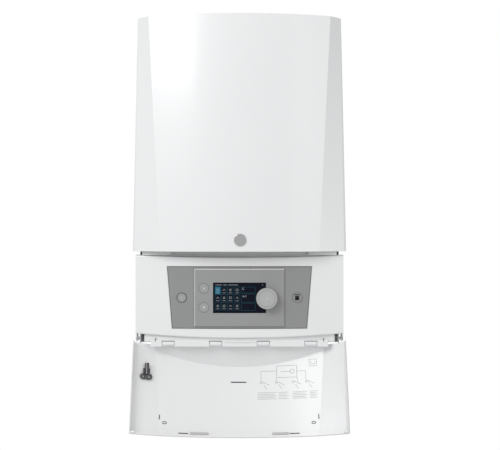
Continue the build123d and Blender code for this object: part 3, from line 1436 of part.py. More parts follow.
# Gas valve: block, coil housing and the nozzle that meets the venturi's
valve_x = FAN_X - VALVE_AWAY
valve_z = FAN_Z - VALVE_DROP
coil_y = FAN_Y - VALVE_DEEP / 2 - COIL_DEEP / 2
with BuildPart() as gas_valve:
    with Locations((valve_x, FAN_Y, valve_z)):
        Box(VALVE_WIDE, VALVE_DEEP, VALVE_TALL)
    with Locations((valve_x, coil_y, valve_z + COIL_RISE)):
        Box(COIL_WIDE, COIL_DEEP, COIL_TALL)
    with BuildSketch(Plane.YZ.offset(nozzle_x)):
        with Locations((FAN_Y, FAN_Z - NOZZLE_DROP)):
            Circle(NOZZLE_R)
    extrude(amount=valve_x - nozzle_x)
gas_valve.part.label = "gas_valve"
export_step(gas_valve.part, "parts/gas_valve.step")

# Air silencer on the back panel
silencer_x = inner_wall - SILENCER_GAP - SILENCER_WIDE / 2
silencer_z = FAN_Z + SILENCER_RAISE
with BuildPart() as air_silencer:
    with Locations((silencer_x, -BACK_SHEET - SILENCER_STAND_OFF - SILENCER_DEEP / 2, silencer_z)):
        Box(SILENCER_WIDE, SILENCER_DEEP, SILENCER_TALL)
    fillet(air_silencer.edges().filter_by(Axis.Z), radius=SILENCER_ROUND)
    with BuildSketch(Plane.XZ.offset(BACK_SHEET)):
        with Locations((silencer_x, silencer_z)):
            Circle(SILENCER_BOSS_R)
    extrude(amount=SILENCER_STAND_OFF + SILENCER_DEEP / 2)
air_silencer.part.label = "air_silencer"
export_step(air_silencer.part, "parts/air_silencer.step")

# Expansion vessel, flat, on a boss against the back panel
vessel_plane = Plane.XZ.offset(BACK_SHEET + VESSEL_STAND_OFF)
with BuildPart() as expansion_vessel:
    with BuildSketch(vessel_plane):
        with Locations((VESSEL_X, VESSEL_Z)):
            RectangleRounded(VESSEL_WIDE, VESSEL_TALL, VESSEL_CORNER)
    extrude(amount=VESSEL_DEEP)
    fillet(expansion_vessel.faces().filter_by(Axis.Y).edges(), radius=VESSEL_ROUND)
    with BuildSketch(Plane.XZ.offset(BACK_SHEET)):
        with Locations((VESSEL_X, VESSEL_Z)):
            Circle(VESSEL_BOSS_R)
    extrude(amount=VESSEL_STAND_OFF)
expansion_vessel.part.label = "expansion_vessel"
export_step(expansion_vessel.part, "parts/expansion_vessel.step")

# Water group along the foot: manifold block with turrets and a boss over each water stub
water_radii = [(x_place, radius) for label, x_place, radius in STUBS if label != "gas_stub"]
with BuildPart() as hydraulic_block:
    with Locations((0, BLOCK_Y, BLOCK_Z)):
        Box(2 * BLOCK_HALF, BLOCK_SQUARE, BLOCK_SQUARE)
    with BuildSketch(Plane.XY.offset(BLOCK_Z)):
        with Locations((-2 * STUB_STEP, BLOCK_Y), (2 * STUB_STEP, BLOCK_Y)):
            Circle(BLOCK_TURRET_R)
    extrude(amount=BLOCK_TURRET_TALL)
    with BuildSketch(Plane.XY.offset(STUB_TOP)):
        for x_place, radius in water_radii:
            with Locations((x_place, STUB_Y)):
                Circle(radius + BLOCK_BOSS)
            with Locations((x_place, (STUB_Y + BLOCK_Y) / 2)):
                Rectangle(2 * radius, STUB_Y - BLOCK_Y)
    extrude(amount=BLOCK_Z - STUB_TOP)
hydraulic_block.part.label = "hydraulic_block"
export_step(hydraulic_block.part, "parts/hydraulic_block.step")

# Pump on the block's front: volute with an upright neck, and a motor with its terminal box
block_face = Plane.XZ.offset(-BLOCK_FRONT)
with BuildPart() as pump_body:
    with BuildSketch(block_face):
        with Locations((PUMP_X, PUMP_Z)):
            Circle(PUMP_R)
    extrude(amount=PUMP_DEEP)
    with Locations((PUMP_X, BLOCK_FRONT - PUMP_DEEP / 2, PUMP_NECK_Z)):
        Box(PUMP_NECK, PUMP_NECK, PUMP_NECK_TALL)
pump_body.part.label = "pump_body"
export_step(pump_body.part, "parts/pump_body.step")
motor_face = block_face.offset(PUMP_DEEP)
pump_box_y = BLOCK_FRONT - PUMP_DEEP - PUMP_BOX_AHEAD - PUMP_BOX_DEEP / 2
with BuildPart() as pump_motor:
    with BuildSketch(motor_face):
        with Locations((PUMP_X, PUMP_Z)):
            Circle(PUMP_MOTOR_R)
    extrude(amount=PUMP_MOTOR_DEEP)
    fillet(pump_motor.faces().sort_by(Axis.Y)[0].edges(), radius=PUMP_MOTOR_ROUND)
    with Locations((PUMP_X, pump_box_y, PUMP_Z + PUMP_MOTOR_R + PUMP_BOX_TALL / 4)):
        Box(PUMP_BOX_WIDE, PUMP_BOX_DEEP, PUMP_BOX_TALL)
pump_motor.part.label = "pump_motor"
export_step(pump_motor.part, "parts/pump_motor.step")

# Plate heat exchanger: stack of pressed plates with proud edges
plate_y = BLOCK_FRONT - PLATE_DEEP / 2
plate_planes = [
    Plane.XZ.offset(-plate_y + PLATE_RIB_STEP * (plate - (PLATE_RIBS - 1) / 2) - PLATE_RIB_WIDE / 2)
    for plate in range(PLATE_RIBS)
]
with BuildPart() as plate_heat_exchanger:
    with Locations((PLATE_X, plate_y, PLATE_Z)):
        Box(PLATE_WIDE, PLATE_DEEP, PLATE_TALL)
    with BuildSketch(*plate_planes):
        with Locations((PLATE_X, PLATE_Z)):
            Rectangle(PLATE_WIDE + 2 * PLATE_RIB_PROUD, PLATE_TALL + 2 * PLATE_RIB_PROUD)
    extrude(amount=PLATE_RIB_WIDE)
plate_heat_exchanger.part.label = "plate_heat_exchanger"
export_step(plate_heat_exchanger.part, "parts/plate_heat_exchanger.step")

# Diverter motor on the block's left end
diverter_right = -BLOCK_HALF - DIVERTER_NECK
with BuildPart() as diverter_motor:
    with Locations((diverter_right - DIVERTER_WIDE / 2, BLOCK_Y, BLOCK_Z)):
        Box(DIVERTER_WIDE, DIVERTER_DEEP, DIVERTER_TALL)
    with BuildSketch(Plane.YZ.offset(diverter_right)):
        with Locations((BLOCK_Y, BLOCK_Z)):
            Circle(DIVERTER_NECK_R)
    extrude(amount=DIVERTER_NECK)
diverter_motor.part.label = "diverter_motor"
export_step(diverter_motor.part, "parts/diverter_motor.step")

# Water pipes between the block's turrets and the drum's ports
flow_x = -2 * STUB_STEP
flow_out = DRUM_X - DRUM_R - PORT_OUT - FLOW_RUN
flow_mid = (BLOCK_TOP + flow_port_z) / 2
with BuildPart() as flow_pipe:
    add(
        pipe_between(
            (
                (flow_x, BLOCK_Y, BLOCK_TOP),
                (flow_x, BLOCK_Y, flow_mid),
                (flow_out, FLUE_Y, flow_mid + 4 * WATER_BEND),
                (flow_out, FLUE_Y, flow_port_z),
                (DRUM_X - DRUM_R - PORT_OUT, FLUE_Y, flow_port_z),
            ),
            WATER_R,
            WATER_BEND,
        )
    )
flow_pipe.part.label = "flow_pipe"
export_step(flow_pipe.part, "parts/flow_pipe.step")
return_mid = (BLOCK_TOP + return_port_z) / 2
with BuildPart() as return_pipe:
    add(
        pipe_between(
            (
                (-flow_x, BLOCK_Y, BLOCK_TOP),
                (-flow_x, BLOCK_Y, return_mid),
                (return_port_x, FLUE_Y, return_mid + 3 * WATER_BEND),
                (return_port_x, FLUE_Y, return_port_z),
            ),
            WATER_R,
            WATER_BEND,
        )
    )
return_pipe.part.label = "return_pipe"
export_step(return_pipe.part, "parts/return_pipe.step")

# Gas pipe, behind the block and forward to the valve
gas_y = STUB_Y + GAS_BACK
valve_foot = valve_z - VALVE_TALL / 2
with BuildPart() as gas_pipe:
    add(
        pipe_between(
            (
                (0, STUB_Y, STUB_TOP),
                (0, STUB_Y, STUB_TOP + GAS_BEND),
                (0, gas_y, STUB_TOP + 4 * GAS_BEND),
                (0, gas_y, valve_foot - 6 * GAS_BEND),
                (valve_x, FAN_Y, valve_foot - 3 * GAS_BEND),
                (valve_x, FAN_Y, valve_foot),
            ),
            GAS_R,
            GAS_BEND,
        )
    )
gas_pipe.part.label = "gas_pipe"
export_step(gas_pipe.part, "parts/gas_pipe.step")

# Safety valve with its turning cap
relief_front = block_face.offset(RELIEF_LONG)
with BuildPart() as safety_valve:
    with BuildSketch(block_face):
        with Locations((RELIEF_X, BLOCK_Z)):
            Circle(RELIEF_R)
    extrude(amount=RELIEF_LONG)
    with BuildSketch(Plane.XY.offset(RELIEF_OUTLET_Z)):
        with Locations((RELIEF_X, BLOCK_FRONT - RELIEF_OUTLET_AWAY)):
            Circle(RELIEF_OUTLET_R)
    extrude(amount=BLOCK_Z - RELIEF_OUTLET_Z)
safety_valve.part.label = "safety_valve"
export_step(safety_valve.part, "parts/safety_valve.step")
with BuildPart() as safety_cap:
    with BuildSketch(relief_front.offset(RELIEF_CAP_GAP)):
        with Locations((RELIEF_X, BLOCK_Z)):
            Circle(RELIEF_CAP_R)
            with PolarLocations(RELIEF_CAP_R, RELIEF_FLUTES):
                Circle(RELIEF_FLUTE_R, mode=Mode.SUBTRACT)
    extrude(amount=RELIEF_CAP_LONG)
safety_cap.part.label = "safety_cap"
export_step(safety_cap.part, "parts/safety_cap.step")

# Siphon with a cup that drops out below the tray, and the hose from the drum
siphon_place = (SIPHON_X, SIPHON_Y)
siphon_head = SIPHON_FOOT + SIPHON_TALL
siphon_top = siphon_head + SIPHON_NECK_TALL
with BuildPart() as siphon_body:
    with BuildSketch(Plane.XY.offset(SIPHON_FOOT)):
        with Locations(siphon_place):
            Circle(SIPHON_R)
    extrude(amount=SIPHON_TALL)
    with BuildSketch(Plane.XY.offset(SIPHON_FOOT - SIPHON_SPIGOT)):
        with Locations(siphon_place):
            Circle(SIPHON_SPIGOT_R)
            Circle(SIPHON_SPIGOT_BORE_R, mode=Mode.SUBTRACT)
    extrude(amount=SIPHON_SPIGOT)
    with BuildSketch(Plane.XY.offset(siphon_head)):
        with Locations(siphon_place):
            Circle(SIPHON_NECK_R)
    extrude(amount=SIPHON_NECK_TALL)
    # arm to the side panel
    with Locations(((SIPHON_X - SIPHON_R / 2 - inner_wall) / 2, SIPHON_Y, siphon_head - SIPHON_R)):
        Box(inner_wall + SIPHON_X - SIPHON_R / 2, SIPHON_R, SIPHON_R / 2)
siphon_body.part.label = "siphon_body"
export_step(siphon_body.part, "parts/siphon_body.step")
cup_top = SIPHON_FOOT - CUP_GAP
with BuildPart() as siphon_cup:
    with BuildSketch(Plane.XY.offset(CUP_FOOT)):
        with Locations(siphon_place):
            Circle(CUP_R)
    extrude(amount=cup_top - CUP_FOOT)
    with BuildSketch(Plane.XY.offset(CUP_FOOT + CUP_FLOOR)):
        with Locations(siphon_place):
            Circle(CUP_BORE_R)
    extrude(amount=cup_top - CUP_FOOT, mode=Mode.SUBTRACT)
siphon_cup.part.label = "siphon_cup"
export_step(siphon_cup.part, "parts/siphon_cup.step")
hose_mid = (drain_foot + siphon_top) / 2
with BuildPart() as condensate_hose:
    add(
        pipe_between(
            (
                (DRUM_X, drain_y, drain_foot),
                (DRUM_X, drain_y, drain_foot - 4 * HOSE_R),
                ((DRUM_X + SIPHON_X) / 2, (drain_y + SIPHON_Y) / 2 - 2 * HOSE_R, hose_mid + 3 * HOSE_R),
                (SIPHON_X, SIPHON_Y, hose_mid - 5 * HOSE_R),
                (SIPHON_X, SIPHON_Y, siphon_top),
            ),
            HOSE_R,
            HOSE_BEND,
        )
    )
condensate_hose.part.label = "condensate_hose"
export_step(condensate_hose.part, "parts/condensate_hose.step")

# Badge, a plain round boss whose back follows the casing
badge_z = CASING_BOTTOM + BADGE_RISE
badge_y = WAIST_FRONT + TOP_LEAN * BADGE_RISE / (CASE_TOP - CASING_BOTTOM)
with BuildPart() as badge:
    with BuildSketch(Plane.XZ.offset(-badge_y - BADGE_PROUD)):
        with Locations((BADGE_X, badge_z)):
            Circle(BADGE_R)
    extrude(amount=2 * BADGE_PROUD)
    fillet(badge.faces().sort_by(Axis.Y)[0].edges(), radius=BADGE_ROUND)
    loft([casing_plan(CASING_BOTTOM, 0), casing_plan(CASE_TOP, 0)], ruled=True, mode=Mode.SUBTRACT)
badge.part.label = "badge"
export_step(badge.part, "parts/badge.step")

# Place of the bleed key: a plane on the inner wall of the flap's left cheek, facing inwards
key_share = KEY_PLACE_RISE / FLAP_TOP
cheek_half = FOOT_HALF + (WAIST_HALF - FOOT_HALF) * key_share
cheek_crease = FOOT_CREASE + (WAIST_CREASE - FOOT_CREASE) * key_share
cheek_turn = math.atan2(CHEEK_FALL, cheek_half - cheek_crease)
key_side = (cheek_half + cheek_crease) / 2 - KEY_PLACE_IN
wall_y = flap_front + lens_fall(cheek_crease) + (key_side - cheek_crease) * math.tan(cheek_turn)
wall_y = wall_y + MOULD / math.cos(cheek_turn)
flap_across = Vector(math.cos(cheek_turn), -math.sin(cheek_turn), 0)
flap_inward = Vector(math.sin(cheek_turn), math.cos(cheek_turn), 0)
key_origin = flap_frame.from_local_coords(Vector(-key_side, wall_y, KEY_PLACE_RISE))
across = flap_frame.from_local_coords(Vector(-key_side, wall_y, KEY_PLACE_RISE) + flap_across) - key_origin
inward = flap_frame.from_local_coords(Vector(-key_side, wall_y, KEY_PLACE_RISE) + flap_inward) - key_origin
cheek_plane = Plane(origin=key_origin, x_dir=across, z_dir=inward)
stem_height = CLIP_BASE + CLIP_GAP + STEM_R

# Clip on the cheek: base and two prongs beside the key's stem
prong_place = STEM_R + CLIP_GAP + CLIP_PRONG / 2
with BuildPart() as key_clip:
    with BuildSketch(cheek_plane.offset(-CLIP_SINK)):
        Rectangle(2 * prong_place + CLIP_PRONG, CLIP_TALL)
    extrude(amount=CLIP_SINK + CLIP_BASE)
    with BuildSketch(cheek_plane):
        with Locations((-prong_place, 0), (prong_place, 0)):
            Rectangle(CLIP_PRONG, CLIP_TALL)
    extrude(amount=CLIP_REACH)
    add(flap_hollow.part, mode=Mode.INTERSECT)
key_clip.part.label = "key_clip"
export_step(key_clip.part, "parts/key_clip.step")

# Bleed key: stem with a square socket, and two ring wings
stem_plane = Plane(
    origin=cheek_plane.from_local_coords(Vector(0, STEM_START, stem_height)),
    x_dir=across,
    z_dir=-cheek_plane.y_dir,
)
with BuildPart() as bleed_key:
    with BuildSketch(stem_plane):
        Circle(STEM_R)
    extrude(amount=STEM_LONG)
    with BuildSketch(cheek_plane.offset(CLIP_BASE + CLIP_GAP)):
        with Locations((-WING_STEP, -WING_DROP), (WING_STEP, -WING_DROP)):
            Circle(WING_R)
        with Locations((0, -WING_DROP)):
            Rectangle(2 * WING_STEP, WING_WEB)
        with Locations((-WING_STEP, -WING_DROP), (WING_STEP, -WING_DROP)):
            Circle(WING_HOLE_R, mode=Mode.SUBTRACT)
    extrude(amount=WING_THICK)
    with BuildSketch(stem_plane):
        Rectangle(STEM_SQUARE, STEM_SQUARE)
    extrude(amount=STEM_BORE, mode=Mode.SUBTRACT)
bleed_key.part.label = "bleed_key"
export_step(bleed_key.part, "parts/bleed_key.step")
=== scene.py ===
"""Looks of the wall-hung boiler: finishes for its CAD parts, and the fine pieces on its panel and flap."""

import logging
import math
from dataclasses import dataclass, field
from enum import Enum
from typing import Any, Dict, Iterable, List, Sequence, Tuple

import bmesh
import bpy
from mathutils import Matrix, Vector


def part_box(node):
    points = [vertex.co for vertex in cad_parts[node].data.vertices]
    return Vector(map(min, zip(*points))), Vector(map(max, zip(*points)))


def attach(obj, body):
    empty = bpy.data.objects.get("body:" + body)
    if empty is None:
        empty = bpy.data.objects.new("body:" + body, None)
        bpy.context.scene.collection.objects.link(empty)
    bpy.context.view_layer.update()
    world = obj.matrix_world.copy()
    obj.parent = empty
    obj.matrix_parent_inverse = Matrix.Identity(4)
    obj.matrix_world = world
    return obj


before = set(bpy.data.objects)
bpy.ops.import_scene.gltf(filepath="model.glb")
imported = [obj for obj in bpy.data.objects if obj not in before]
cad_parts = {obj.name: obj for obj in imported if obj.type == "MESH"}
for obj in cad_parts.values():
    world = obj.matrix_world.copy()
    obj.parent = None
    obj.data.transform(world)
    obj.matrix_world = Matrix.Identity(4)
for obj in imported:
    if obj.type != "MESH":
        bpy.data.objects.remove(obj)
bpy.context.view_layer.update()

LOG = logging.getLogger("boiler")
MM = 0.001
HALF = 0.5
Colour = Tuple[float, float, float]
Point = Tuple[float, float, float]
Path = List[Tuple[float, float]]
Places = Tuple[Tuple[float, float], ...]


class Body(Enum):
    """Bodies of the frame that a piece can ride on."""

    PANEL = "panel"
    FLAP = "flap"
    KNOB = "knob"
    KEY_UP = "key_up"
    KEY_DOWN = "key_down"
    POWER = "power"


class Value:
    """A shader socket that takes part in arithmetic."""

    def __init__(self, graph: "Graph", socket: bpy.types.NodeSocket) -> None:
        """Wraps a socket.

        Args:
            graph: the graph that the socket belongs to.
            socket: the output socket.
        """
        self.graph = graph
        self.socket = socket

    def _maths(self, operation: str, first: Any, second: Any) -> "Value":
        """Adds one Math node and returns its result."""
        return self.graph.node("ShaderNodeMath", {"operation": operation}, {0: first, 1: second})

    def __radd__(self, other: Any) -> "Value":
        """Sum with the value on the right."""
        return self._maths("ADD", other, self)

    def __sub__(self, other: Any) -> "Value":
        """Difference."""
        return self._maths("SUBTRACT", self, other)

    def __rmul__(self, other: Any) -> "Value":
        """Product with the value on the right."""
        return self._maths("MULTIPLY", other, self)


class Graph:
    """The node graph of one material, with its surface shader."""

    def __init__(self, name: str) -> None:
        """Starts an empty material.

        Args:
            name: the material's name.
        """
        self.material = bpy.data.materials.new(name)
        self.material.use_nodes = True
        self.tree = self.material.node_tree
        self.tree.nodes.clear()

    def node(
        self, kind: str, settings: Dict[str, Any], inputs: Dict[Any, Any], output: Any = 0
    ) -> Value:
        """Adds a node of any type.

        Args:
            kind: the node's type.
            settings: properties that are set before its sockets; a ramp takes "stops".
            inputs: numbers, colours or links for its sockets, by name or place.
            output: the output socket that is returned.

        Returns:
            The chosen output as a value.
        """
        made = self.tree.nodes.new(kind)
        for key, setting in settings.items():
            if key == "stops":
                self._stops(made.color_ramp, setting)
            else:
                setattr(made, key, setting)
        for key, given in inputs.items():
            if isinstance(given, Value):
                self.tree.links.new(given.socket, made.inputs[key])
            else:
                made.inputs[key].default_value = given
        return Value(self, made.outputs[output])

    @staticmethod
    def _stops(ramp: Any, stops: Sequence[Tuple[float, float]]) -> None:
        """Sets the grey stops of a colour ramp."""
        while len(ramp.elements) < len(stops):
            ramp.elements.new(0.5)
        for element, (place, level) in zip(ramp.elements, stops):
            element.position = place
            element.color = (level, level, level, 1.0)

    def place(self) -> Value:
        """Object coordinates, in metres."""
        return self.node("ShaderNodeTexCoord", {}, {}, "Object")

    def stretched(self, scale: Point) -> Value:
        """Object coordinates scaled along each axis."""
        return self.node(
            "ShaderNodeVectorMath", {"operation": "MULTIPLY"}, {0: self.place(), 1: scale}
        )

    def noise(self, where: Value, scale: float, detail: float = 3.0) -> Value:
        """Noise between 0 and 1."""
        return self.node("ShaderNodeTexNoise", {}, {"Vector": where, "Scale": scale, "Detail": detail})

    def mixed(self, share: Value, low: Colour, high: Colour) -> Value:
        """Colour between two colours."""
        return self.node(
            "ShaderNodeMix",
            {"data_type": "RGBA"},
            {0: share, 6: (*low, 1.0), 7: (*high, 1.0)},
            2,
        )

    def bump(self, height: Value, strength: float, distance: float) -> Value:
        """Normal bent by a height."""
        return self.node(
            "ShaderNodeBump", {}, {"Height": height, "Strength": strength, "Distance": distance}
        )

    def surface(self, inputs: Dict[str, Any]) -> bpy.types.Material:
        """Closes the graph with a surface shader.

        Args:
            inputs: the shader's sockets by name.

        Returns:
            The finished material.
        """
        self.close(self.node("ShaderNodeBsdfPrincipled", {}, inputs))
        return self.material

    def close(self, shader: Value) -> None:
        """Links a shader to the material's output."""
        out = self.tree.nodes.new("ShaderNodeOutputMaterial")
        self.tree.links.new(shader.socket, out.inputs["Surface"])


@dataclass(frozen=True)
class Lacquer:
    """Gloss or satin paint: an even coat with a faint ripple and a clear gleam."""

    name: str
    colour: Colour
    roughness: float = 0.3
    coat: float = 0.25
    ripple: float = 0.03
    drift: float = 0.02
    gleam: float = 0.5
    cloud_scale: float = 7.0
    skin_scale: float = 420.0
    skin_depth: float = 0.0004
    roughness_swing: float = 0.05
    coat_roughness: float = 0.12

    def material(self) -> bpy.types.Material:
        """Builds the paint's material."""
        graph = Graph(self.name)
        place = graph.place()
        cloud = graph.noise(place, self.cloud_scale)
        darker = tuple(level * (1.0 - self.drift) for level in self.colour)
        skin = graph.noise(place, self.skin_scale, 1.0)
        return graph.surface(
            {
                "Base Color": graph.mixed(cloud, darker, self.colour),
                "Roughness": self.roughness + self.roughness_swing * (cloud - HALF),
                "Coat Weight": self.coat,
                "Coat Roughness": self.coat_roughness,
                "Specular IOR Level": self.gleam,
                "Normal": graph.bump(skin, self.ripple, self.skin_depth),
            }
        )


@dataclass(frozen=True)
class Moulding:
    """Moulded plastic with a fine spark-eroded grain."""

    name: str
    colour: Colour
    roughness: float = 0.45
    grain: float = 0.12
    cloud_scale: float = 12.0
    pit_scale: float = 1500.0
    pit_depth: float = 0.0002
    dimming: float = 0.95
    roughness_swing: float = 0.12

    def material(self) -> bpy.types.Material:
        """Builds the plastic's material."""
        graph = Graph(self.name)
        place = graph.place()
        cloud = graph.noise(place, self.cloud_scale)
        pits = graph.noise(place, self.pit_scale, 2.0)
        darker = tuple(level * self.dimming for level in self.colour)
        return graph.surface(
            {
                "Base Color": graph.mixed(cloud, darker, self.colour),
                "Roughness": self.roughness + self.roughness_swing * (pits - HALF),
                "Normal": graph.bump(pits, self.grain, self.pit_depth),
            }
        )


@dataclass(frozen=True)
class Metal:
    """Bare metal: brushed along one axis, or cast when the brush is even."""

    name: str
    colour: Colour
    roughness: float = 0.32
    brush: Point = (6.0, 900.0, 900.0)
    depth: float = 0.1
    stain: float = 0.12
    patch_scale: float = 18.0
    roughness_swing: float = 0.16
    line_depth: float = 0.0003

    def material(self) -> bpy.types.Material:
        """Builds the metal's material."""
        graph = Graph(self.name)
        lines = graph.noise(graph.stretched(self.brush), 1.0, 2.0)
        patches = graph.noise(graph.place(), self.patch_scale, 4.0)
        darker = tuple(level * (1.0 - self.stain) for level in self.colour)
        return graph.surface(
            {
                "Base Color": graph.mixed(patches, darker, self.colour),
                "Metallic": 1.0,
                "Roughness": self.roughness + self.roughness_swing * (lines - HALF),
                "Normal": graph.bump(lines, self.depth, self.line_depth),
            }
        )


@dataclass(frozen=True)
class Board:
    """Printed circuit board: green mask with faint copper tracks."""

    name: str
    colour: Colour
    cell_scale: Point = (180.0, 180.0, 180.0)
    track_stops: Places = ((0.38, 0.0), (0.42, 1.0))
    brightening: float = 1.8
    roughness: float = 0.35
    track_roughness: float = 0.15
    relief: float = 0.2
    relief_depth: float = 0.0002

    def material(self) -> bpy.types.Material:
        """Builds the board's material."""
        graph = Graph(self.name)
        cells = graph.node(
            "ShaderNodeTexVoronoi",
            {"distance": "CHEBYCHEV"},
            {"Vector": graph.stretched(self.cell_scale), "Scale": 1.0},
        )
        tracks = graph.node("ShaderNodeValToRGB", {"stops": self.track_stops}, {0: cells})
        lighter = tuple(min(1.0, level * self.brightening) for level in self.colour)
        return graph.surface(
            {
                "Base Color": graph.mixed(tracks, self.colour, lighter),
                "Roughness": self.roughness + self.track_roughness * tracks,
                "Normal": graph.bump(tracks, self.relief, self.relief_depth),
            }
        )


@dataclass(frozen=True)
class Glow:
    """Lit print on the screen."""

    name: str
    colour: Colour
    strength: float = 1.0
    cloud_scale: float = 60.0
    dimming: float = 0.85
    unlit: float = 0.2
    roughness: float = 0.3

    def material(self) -> bpy.types.Material:
        """Builds the lit material, a little uneven as a backlight is."""
        graph = Graph(self.name)
        cloud = graph.noise(graph.place(), self.cloud_scale)
        dimmer = tuple(level * self.dimming for level in self.colour)
        return graph.surface(
            {
                "Base Color": (*[level * self.unlit for level in self.colour], 1.0),
                "Roughness": self.roughness,
                "Emission Color": graph.mixed(cloud, dimmer, self.colour),
                "Emission Strength": self.strength,
            }
        )


@dataclass
class Finishes:
    """Every finish of the boiler, and the CAD nodes that each one covers."""

    made: Dict[str, bpy.types.Material] = field(default_factory=dict)

    def build(self) -> None:
        """Makes the materials."""
        fine = (900.0, 900.0, 900.0)
        for finish in (
            Lacquer("casing_white", (0.80, 0.81, 0.815)),
            Lacquer("housing_white", (0.80, 0.805, 0.81), roughness=0.36, coat=0.15, ripple=0.02),
            Lacquer("vessel_red", (0.42, 0.03, 0.025), roughness=0.35),
            Moulding("fascia_grey", (0.27, 0.272, 0.275), roughness=0.5, grain=0.08),
            Moulding("module_grey", (0.30, 0.302, 0.305), roughness=0.48, grain=0.08),
            Moulding("knob_grey", (0.42, 0.422, 0.425), roughness=0.4, grain=0.08),
            Moulding("dark_plastic", (0.035, 0.036, 0.038)),
            # Black for printed marks and pins, and also the painted shade sheet in the socket's hole.
            Moulding("black_mark_and_shade", (0.012, 0.012, 0.013), roughness=0.5),
            Moulding("print_grey", (0.30, 0.30, 0.31), roughness=0.6, grain=0.02),
            Moulding("print_pale", (0.52, 0.52, 0.53), roughness=0.6, grain=0.02),
            Moulding("cap_red", (0.5, 0.03, 0.025)),
            Moulding("seal_rubber", (0.03, 0.03, 0.032), roughness=0.75, grain=0.3),
            Moulding("hose_grey", (0.16, 0.16, 0.17), roughness=0.6),
            Moulding("electrode_white", (0.7, 0.68, 0.62), roughness=0.5),
            Lacquer("screen_black", (0.003, 0.005, 0.012), 0.15, coat=0.0, ripple=0.0, gleam=0.12),
            Moulding("button_grey", (0.33, 0.332, 0.335), roughness=0.42, grain=0.08),
            Board("board_green", (0.01, 0.11, 0.05)),
            Metal("zinc_sheet", (0.56, 0.57, 0.58), 0.42, fine, 0.05, 0.25),
            Metal("stainless", (0.55, 0.55, 0.53), 0.3),
            Metal("copper_pipe", (0.72, 0.36, 0.24), 0.3, (300.0, 300.0, 8.0)),
            Metal("brass_forging", (0.62, 0.47, 0.2), 0.35, fine, 0.15),
            Metal("cast_iron", (0.09, 0.09, 0.095), 0.6, (350.0, 350.0, 350.0), 0.5),
            Metal("cast_alloy", (0.5, 0.5, 0.51), 0.5, (400.0, 400.0, 400.0), 0.35),
            Metal("burner_steel", (0.32, 0.28, 0.24), 0.55, fine, 0.3),
            Metal("bright_chrome", (0.62, 0.62, 0.63), 0.14, fine, 0.02, 0.05),
            Metal("key_zinc", (0.13, 0.13, 0.135), 0.34, fine, 0.25, 0.4),
            # Pale white for printed key and knob marks, and also the painted highlight along the display
            # module's top and left edges.
            Moulding("print_and_highlight_white", (0.75, 0.75, 0.76), roughness=0.5, grain=0.02),
            # Dark grey for edge lines and rings, and also the painted shade and shadow lines on the module,
            # fascia and socket.
            Moulding("edge_line_and_shadow_grey", (0.11, 0.11, 0.115), roughness=0.55, grain=0.02),
            Glow("tile_teal", (0.0, 0.115, 0.19), 1.0),
            Glow("line_teal", (0.0, 0.075, 0.11), 0.8),
            Glow("icon_pale", (0.34, 0.38, 0.40), 0.9),
        ):
            self.made[finish.name] = finish.material()

    def dress(self) -> None:
        """Puts a finish on every CAD node."""
        groups: Dict[str, str] = {
            "casing_white": "front_casing side_panel_left side_panel_right flue_collar",
            "housing_white": "control_housing flap_shell",
            "vessel_red": "expansion_vessel",
            "fascia_grey": "fascia power_collar service_socket",
            "module_grey": "display_module",
            "knob_grey": "rotary_knob",
            "button_grey": "upper_key lower_key power_button",
            "dark_plastic": "housing_cover key_clip air_silencer diverter_motor spark_generator"
            " sampling_caps siphon_body siphon_cup encoder",
            "cap_red": "safety_cap",
            "seal_rubber": "casing_seal combustion_gasket",
            "hose_grey": "condensate_hose",
            "electrode_white": "ignition_electrode",
            "screen_black": "display_screen sight_glass",
            "board_green": "control_board",
            "zinc_sheet": "back_panel wall_bracket pivot_brackets top_panel bottom_tray hinge_rod",
            "stainless": "heat_exchanger plate_heat_exchanger flue_pipe",
            "copper_pipe": "flow_pipe return_pipe",
            "brass_forging": "pipe_stubs_22 pipe_stubs_15 hydraulic_block safety_valve gas_pipe",
            "cast_iron": "pump_body",
            "cast_alloy": "fan_housing fan_impeller fan_motor venturi gas_valve pump_motor burner_door",
            "burner_steel": "burner",
            "bright_chrome": "badge",
            "key_zinc": "bleed_key",
        }
        for finish, names in groups.items():
            for name in names.split():
                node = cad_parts.get(name)
                if node is None:
                    LOG.warning("no node %s", name)
                    continue
                for slot in node.material_slots:
                    slot.material = self.made[finish]
        LOG.info("finishes: %d", len(self.made))


class Outline:
    """Flat outlines and paths in millimetres."""

    @staticmethod
    def box(left: float, low: float, right: float, high: float) -> Path:
        """Corners of an upright rectangle."""
        return [(left, low), (right, low), (right, high), (left, high)]

    @staticmethod
    def border(left: float, low: float, right: float, high: float) -> Path:
        """Closed path round an upright rectangle."""
        corners = Outline.box(left, low, right, high)
        return corners + corners[:1]

    @staticmethod
    def oval(x: float, z: float, across: float, up: float, steps: int = 20) -> Path:
        """Closed path along an oval, from its two half sizes."""
        turns = [math.tau * step / steps for step in range(steps + 1)]
        return [(x + across * math.cos(turn), z + up * math.sin(turn)) for turn in turns]

    @staticmethod
    def arc(x: float, z: float, radius: float, start: float, end: float, steps: int = 20) -> Path:
        """Path along an arc, with its angles in degrees."""
        turns = [math.radians(start + (end - start) * step / steps) for step in range(steps + 1)]
        return [(x + radius * math.cos(turn), z + radius * math.sin(turn)) for turn in turns]

    @staticmethod
    def ring(x: float, z: float, radius: float, steps: int = 20) -> Path:
        """Closed path along a circle."""
        return Outline.arc(x, z, radius, 0.0, 360.0, steps)

    @staticmethod
    def divided(path: Path, step: float, closed: bool) -> Path:
        """Adds places along a path so that it can follow a curved face.

        Args:
            path: the corners.
            step: greatest run between two places.
            closed: whether the last corner joins the first.

        Returns:
            The longer list of places.
        """
        ends = path[1:] + path[:1] if closed else path[1:]
        places: Path = []
        for (x0, z0), (x1, z1) in zip(path, ends):
            wide, tall = x1 - x0, z1 - z0
            parts = max(1, math.ceil(math.hypot(wide, tall) / step))
            places += [(x0 + wide * part / parts, z0 + tall * part / parts) for part in range(parts)]
        return places if closed else places + path[-1:]


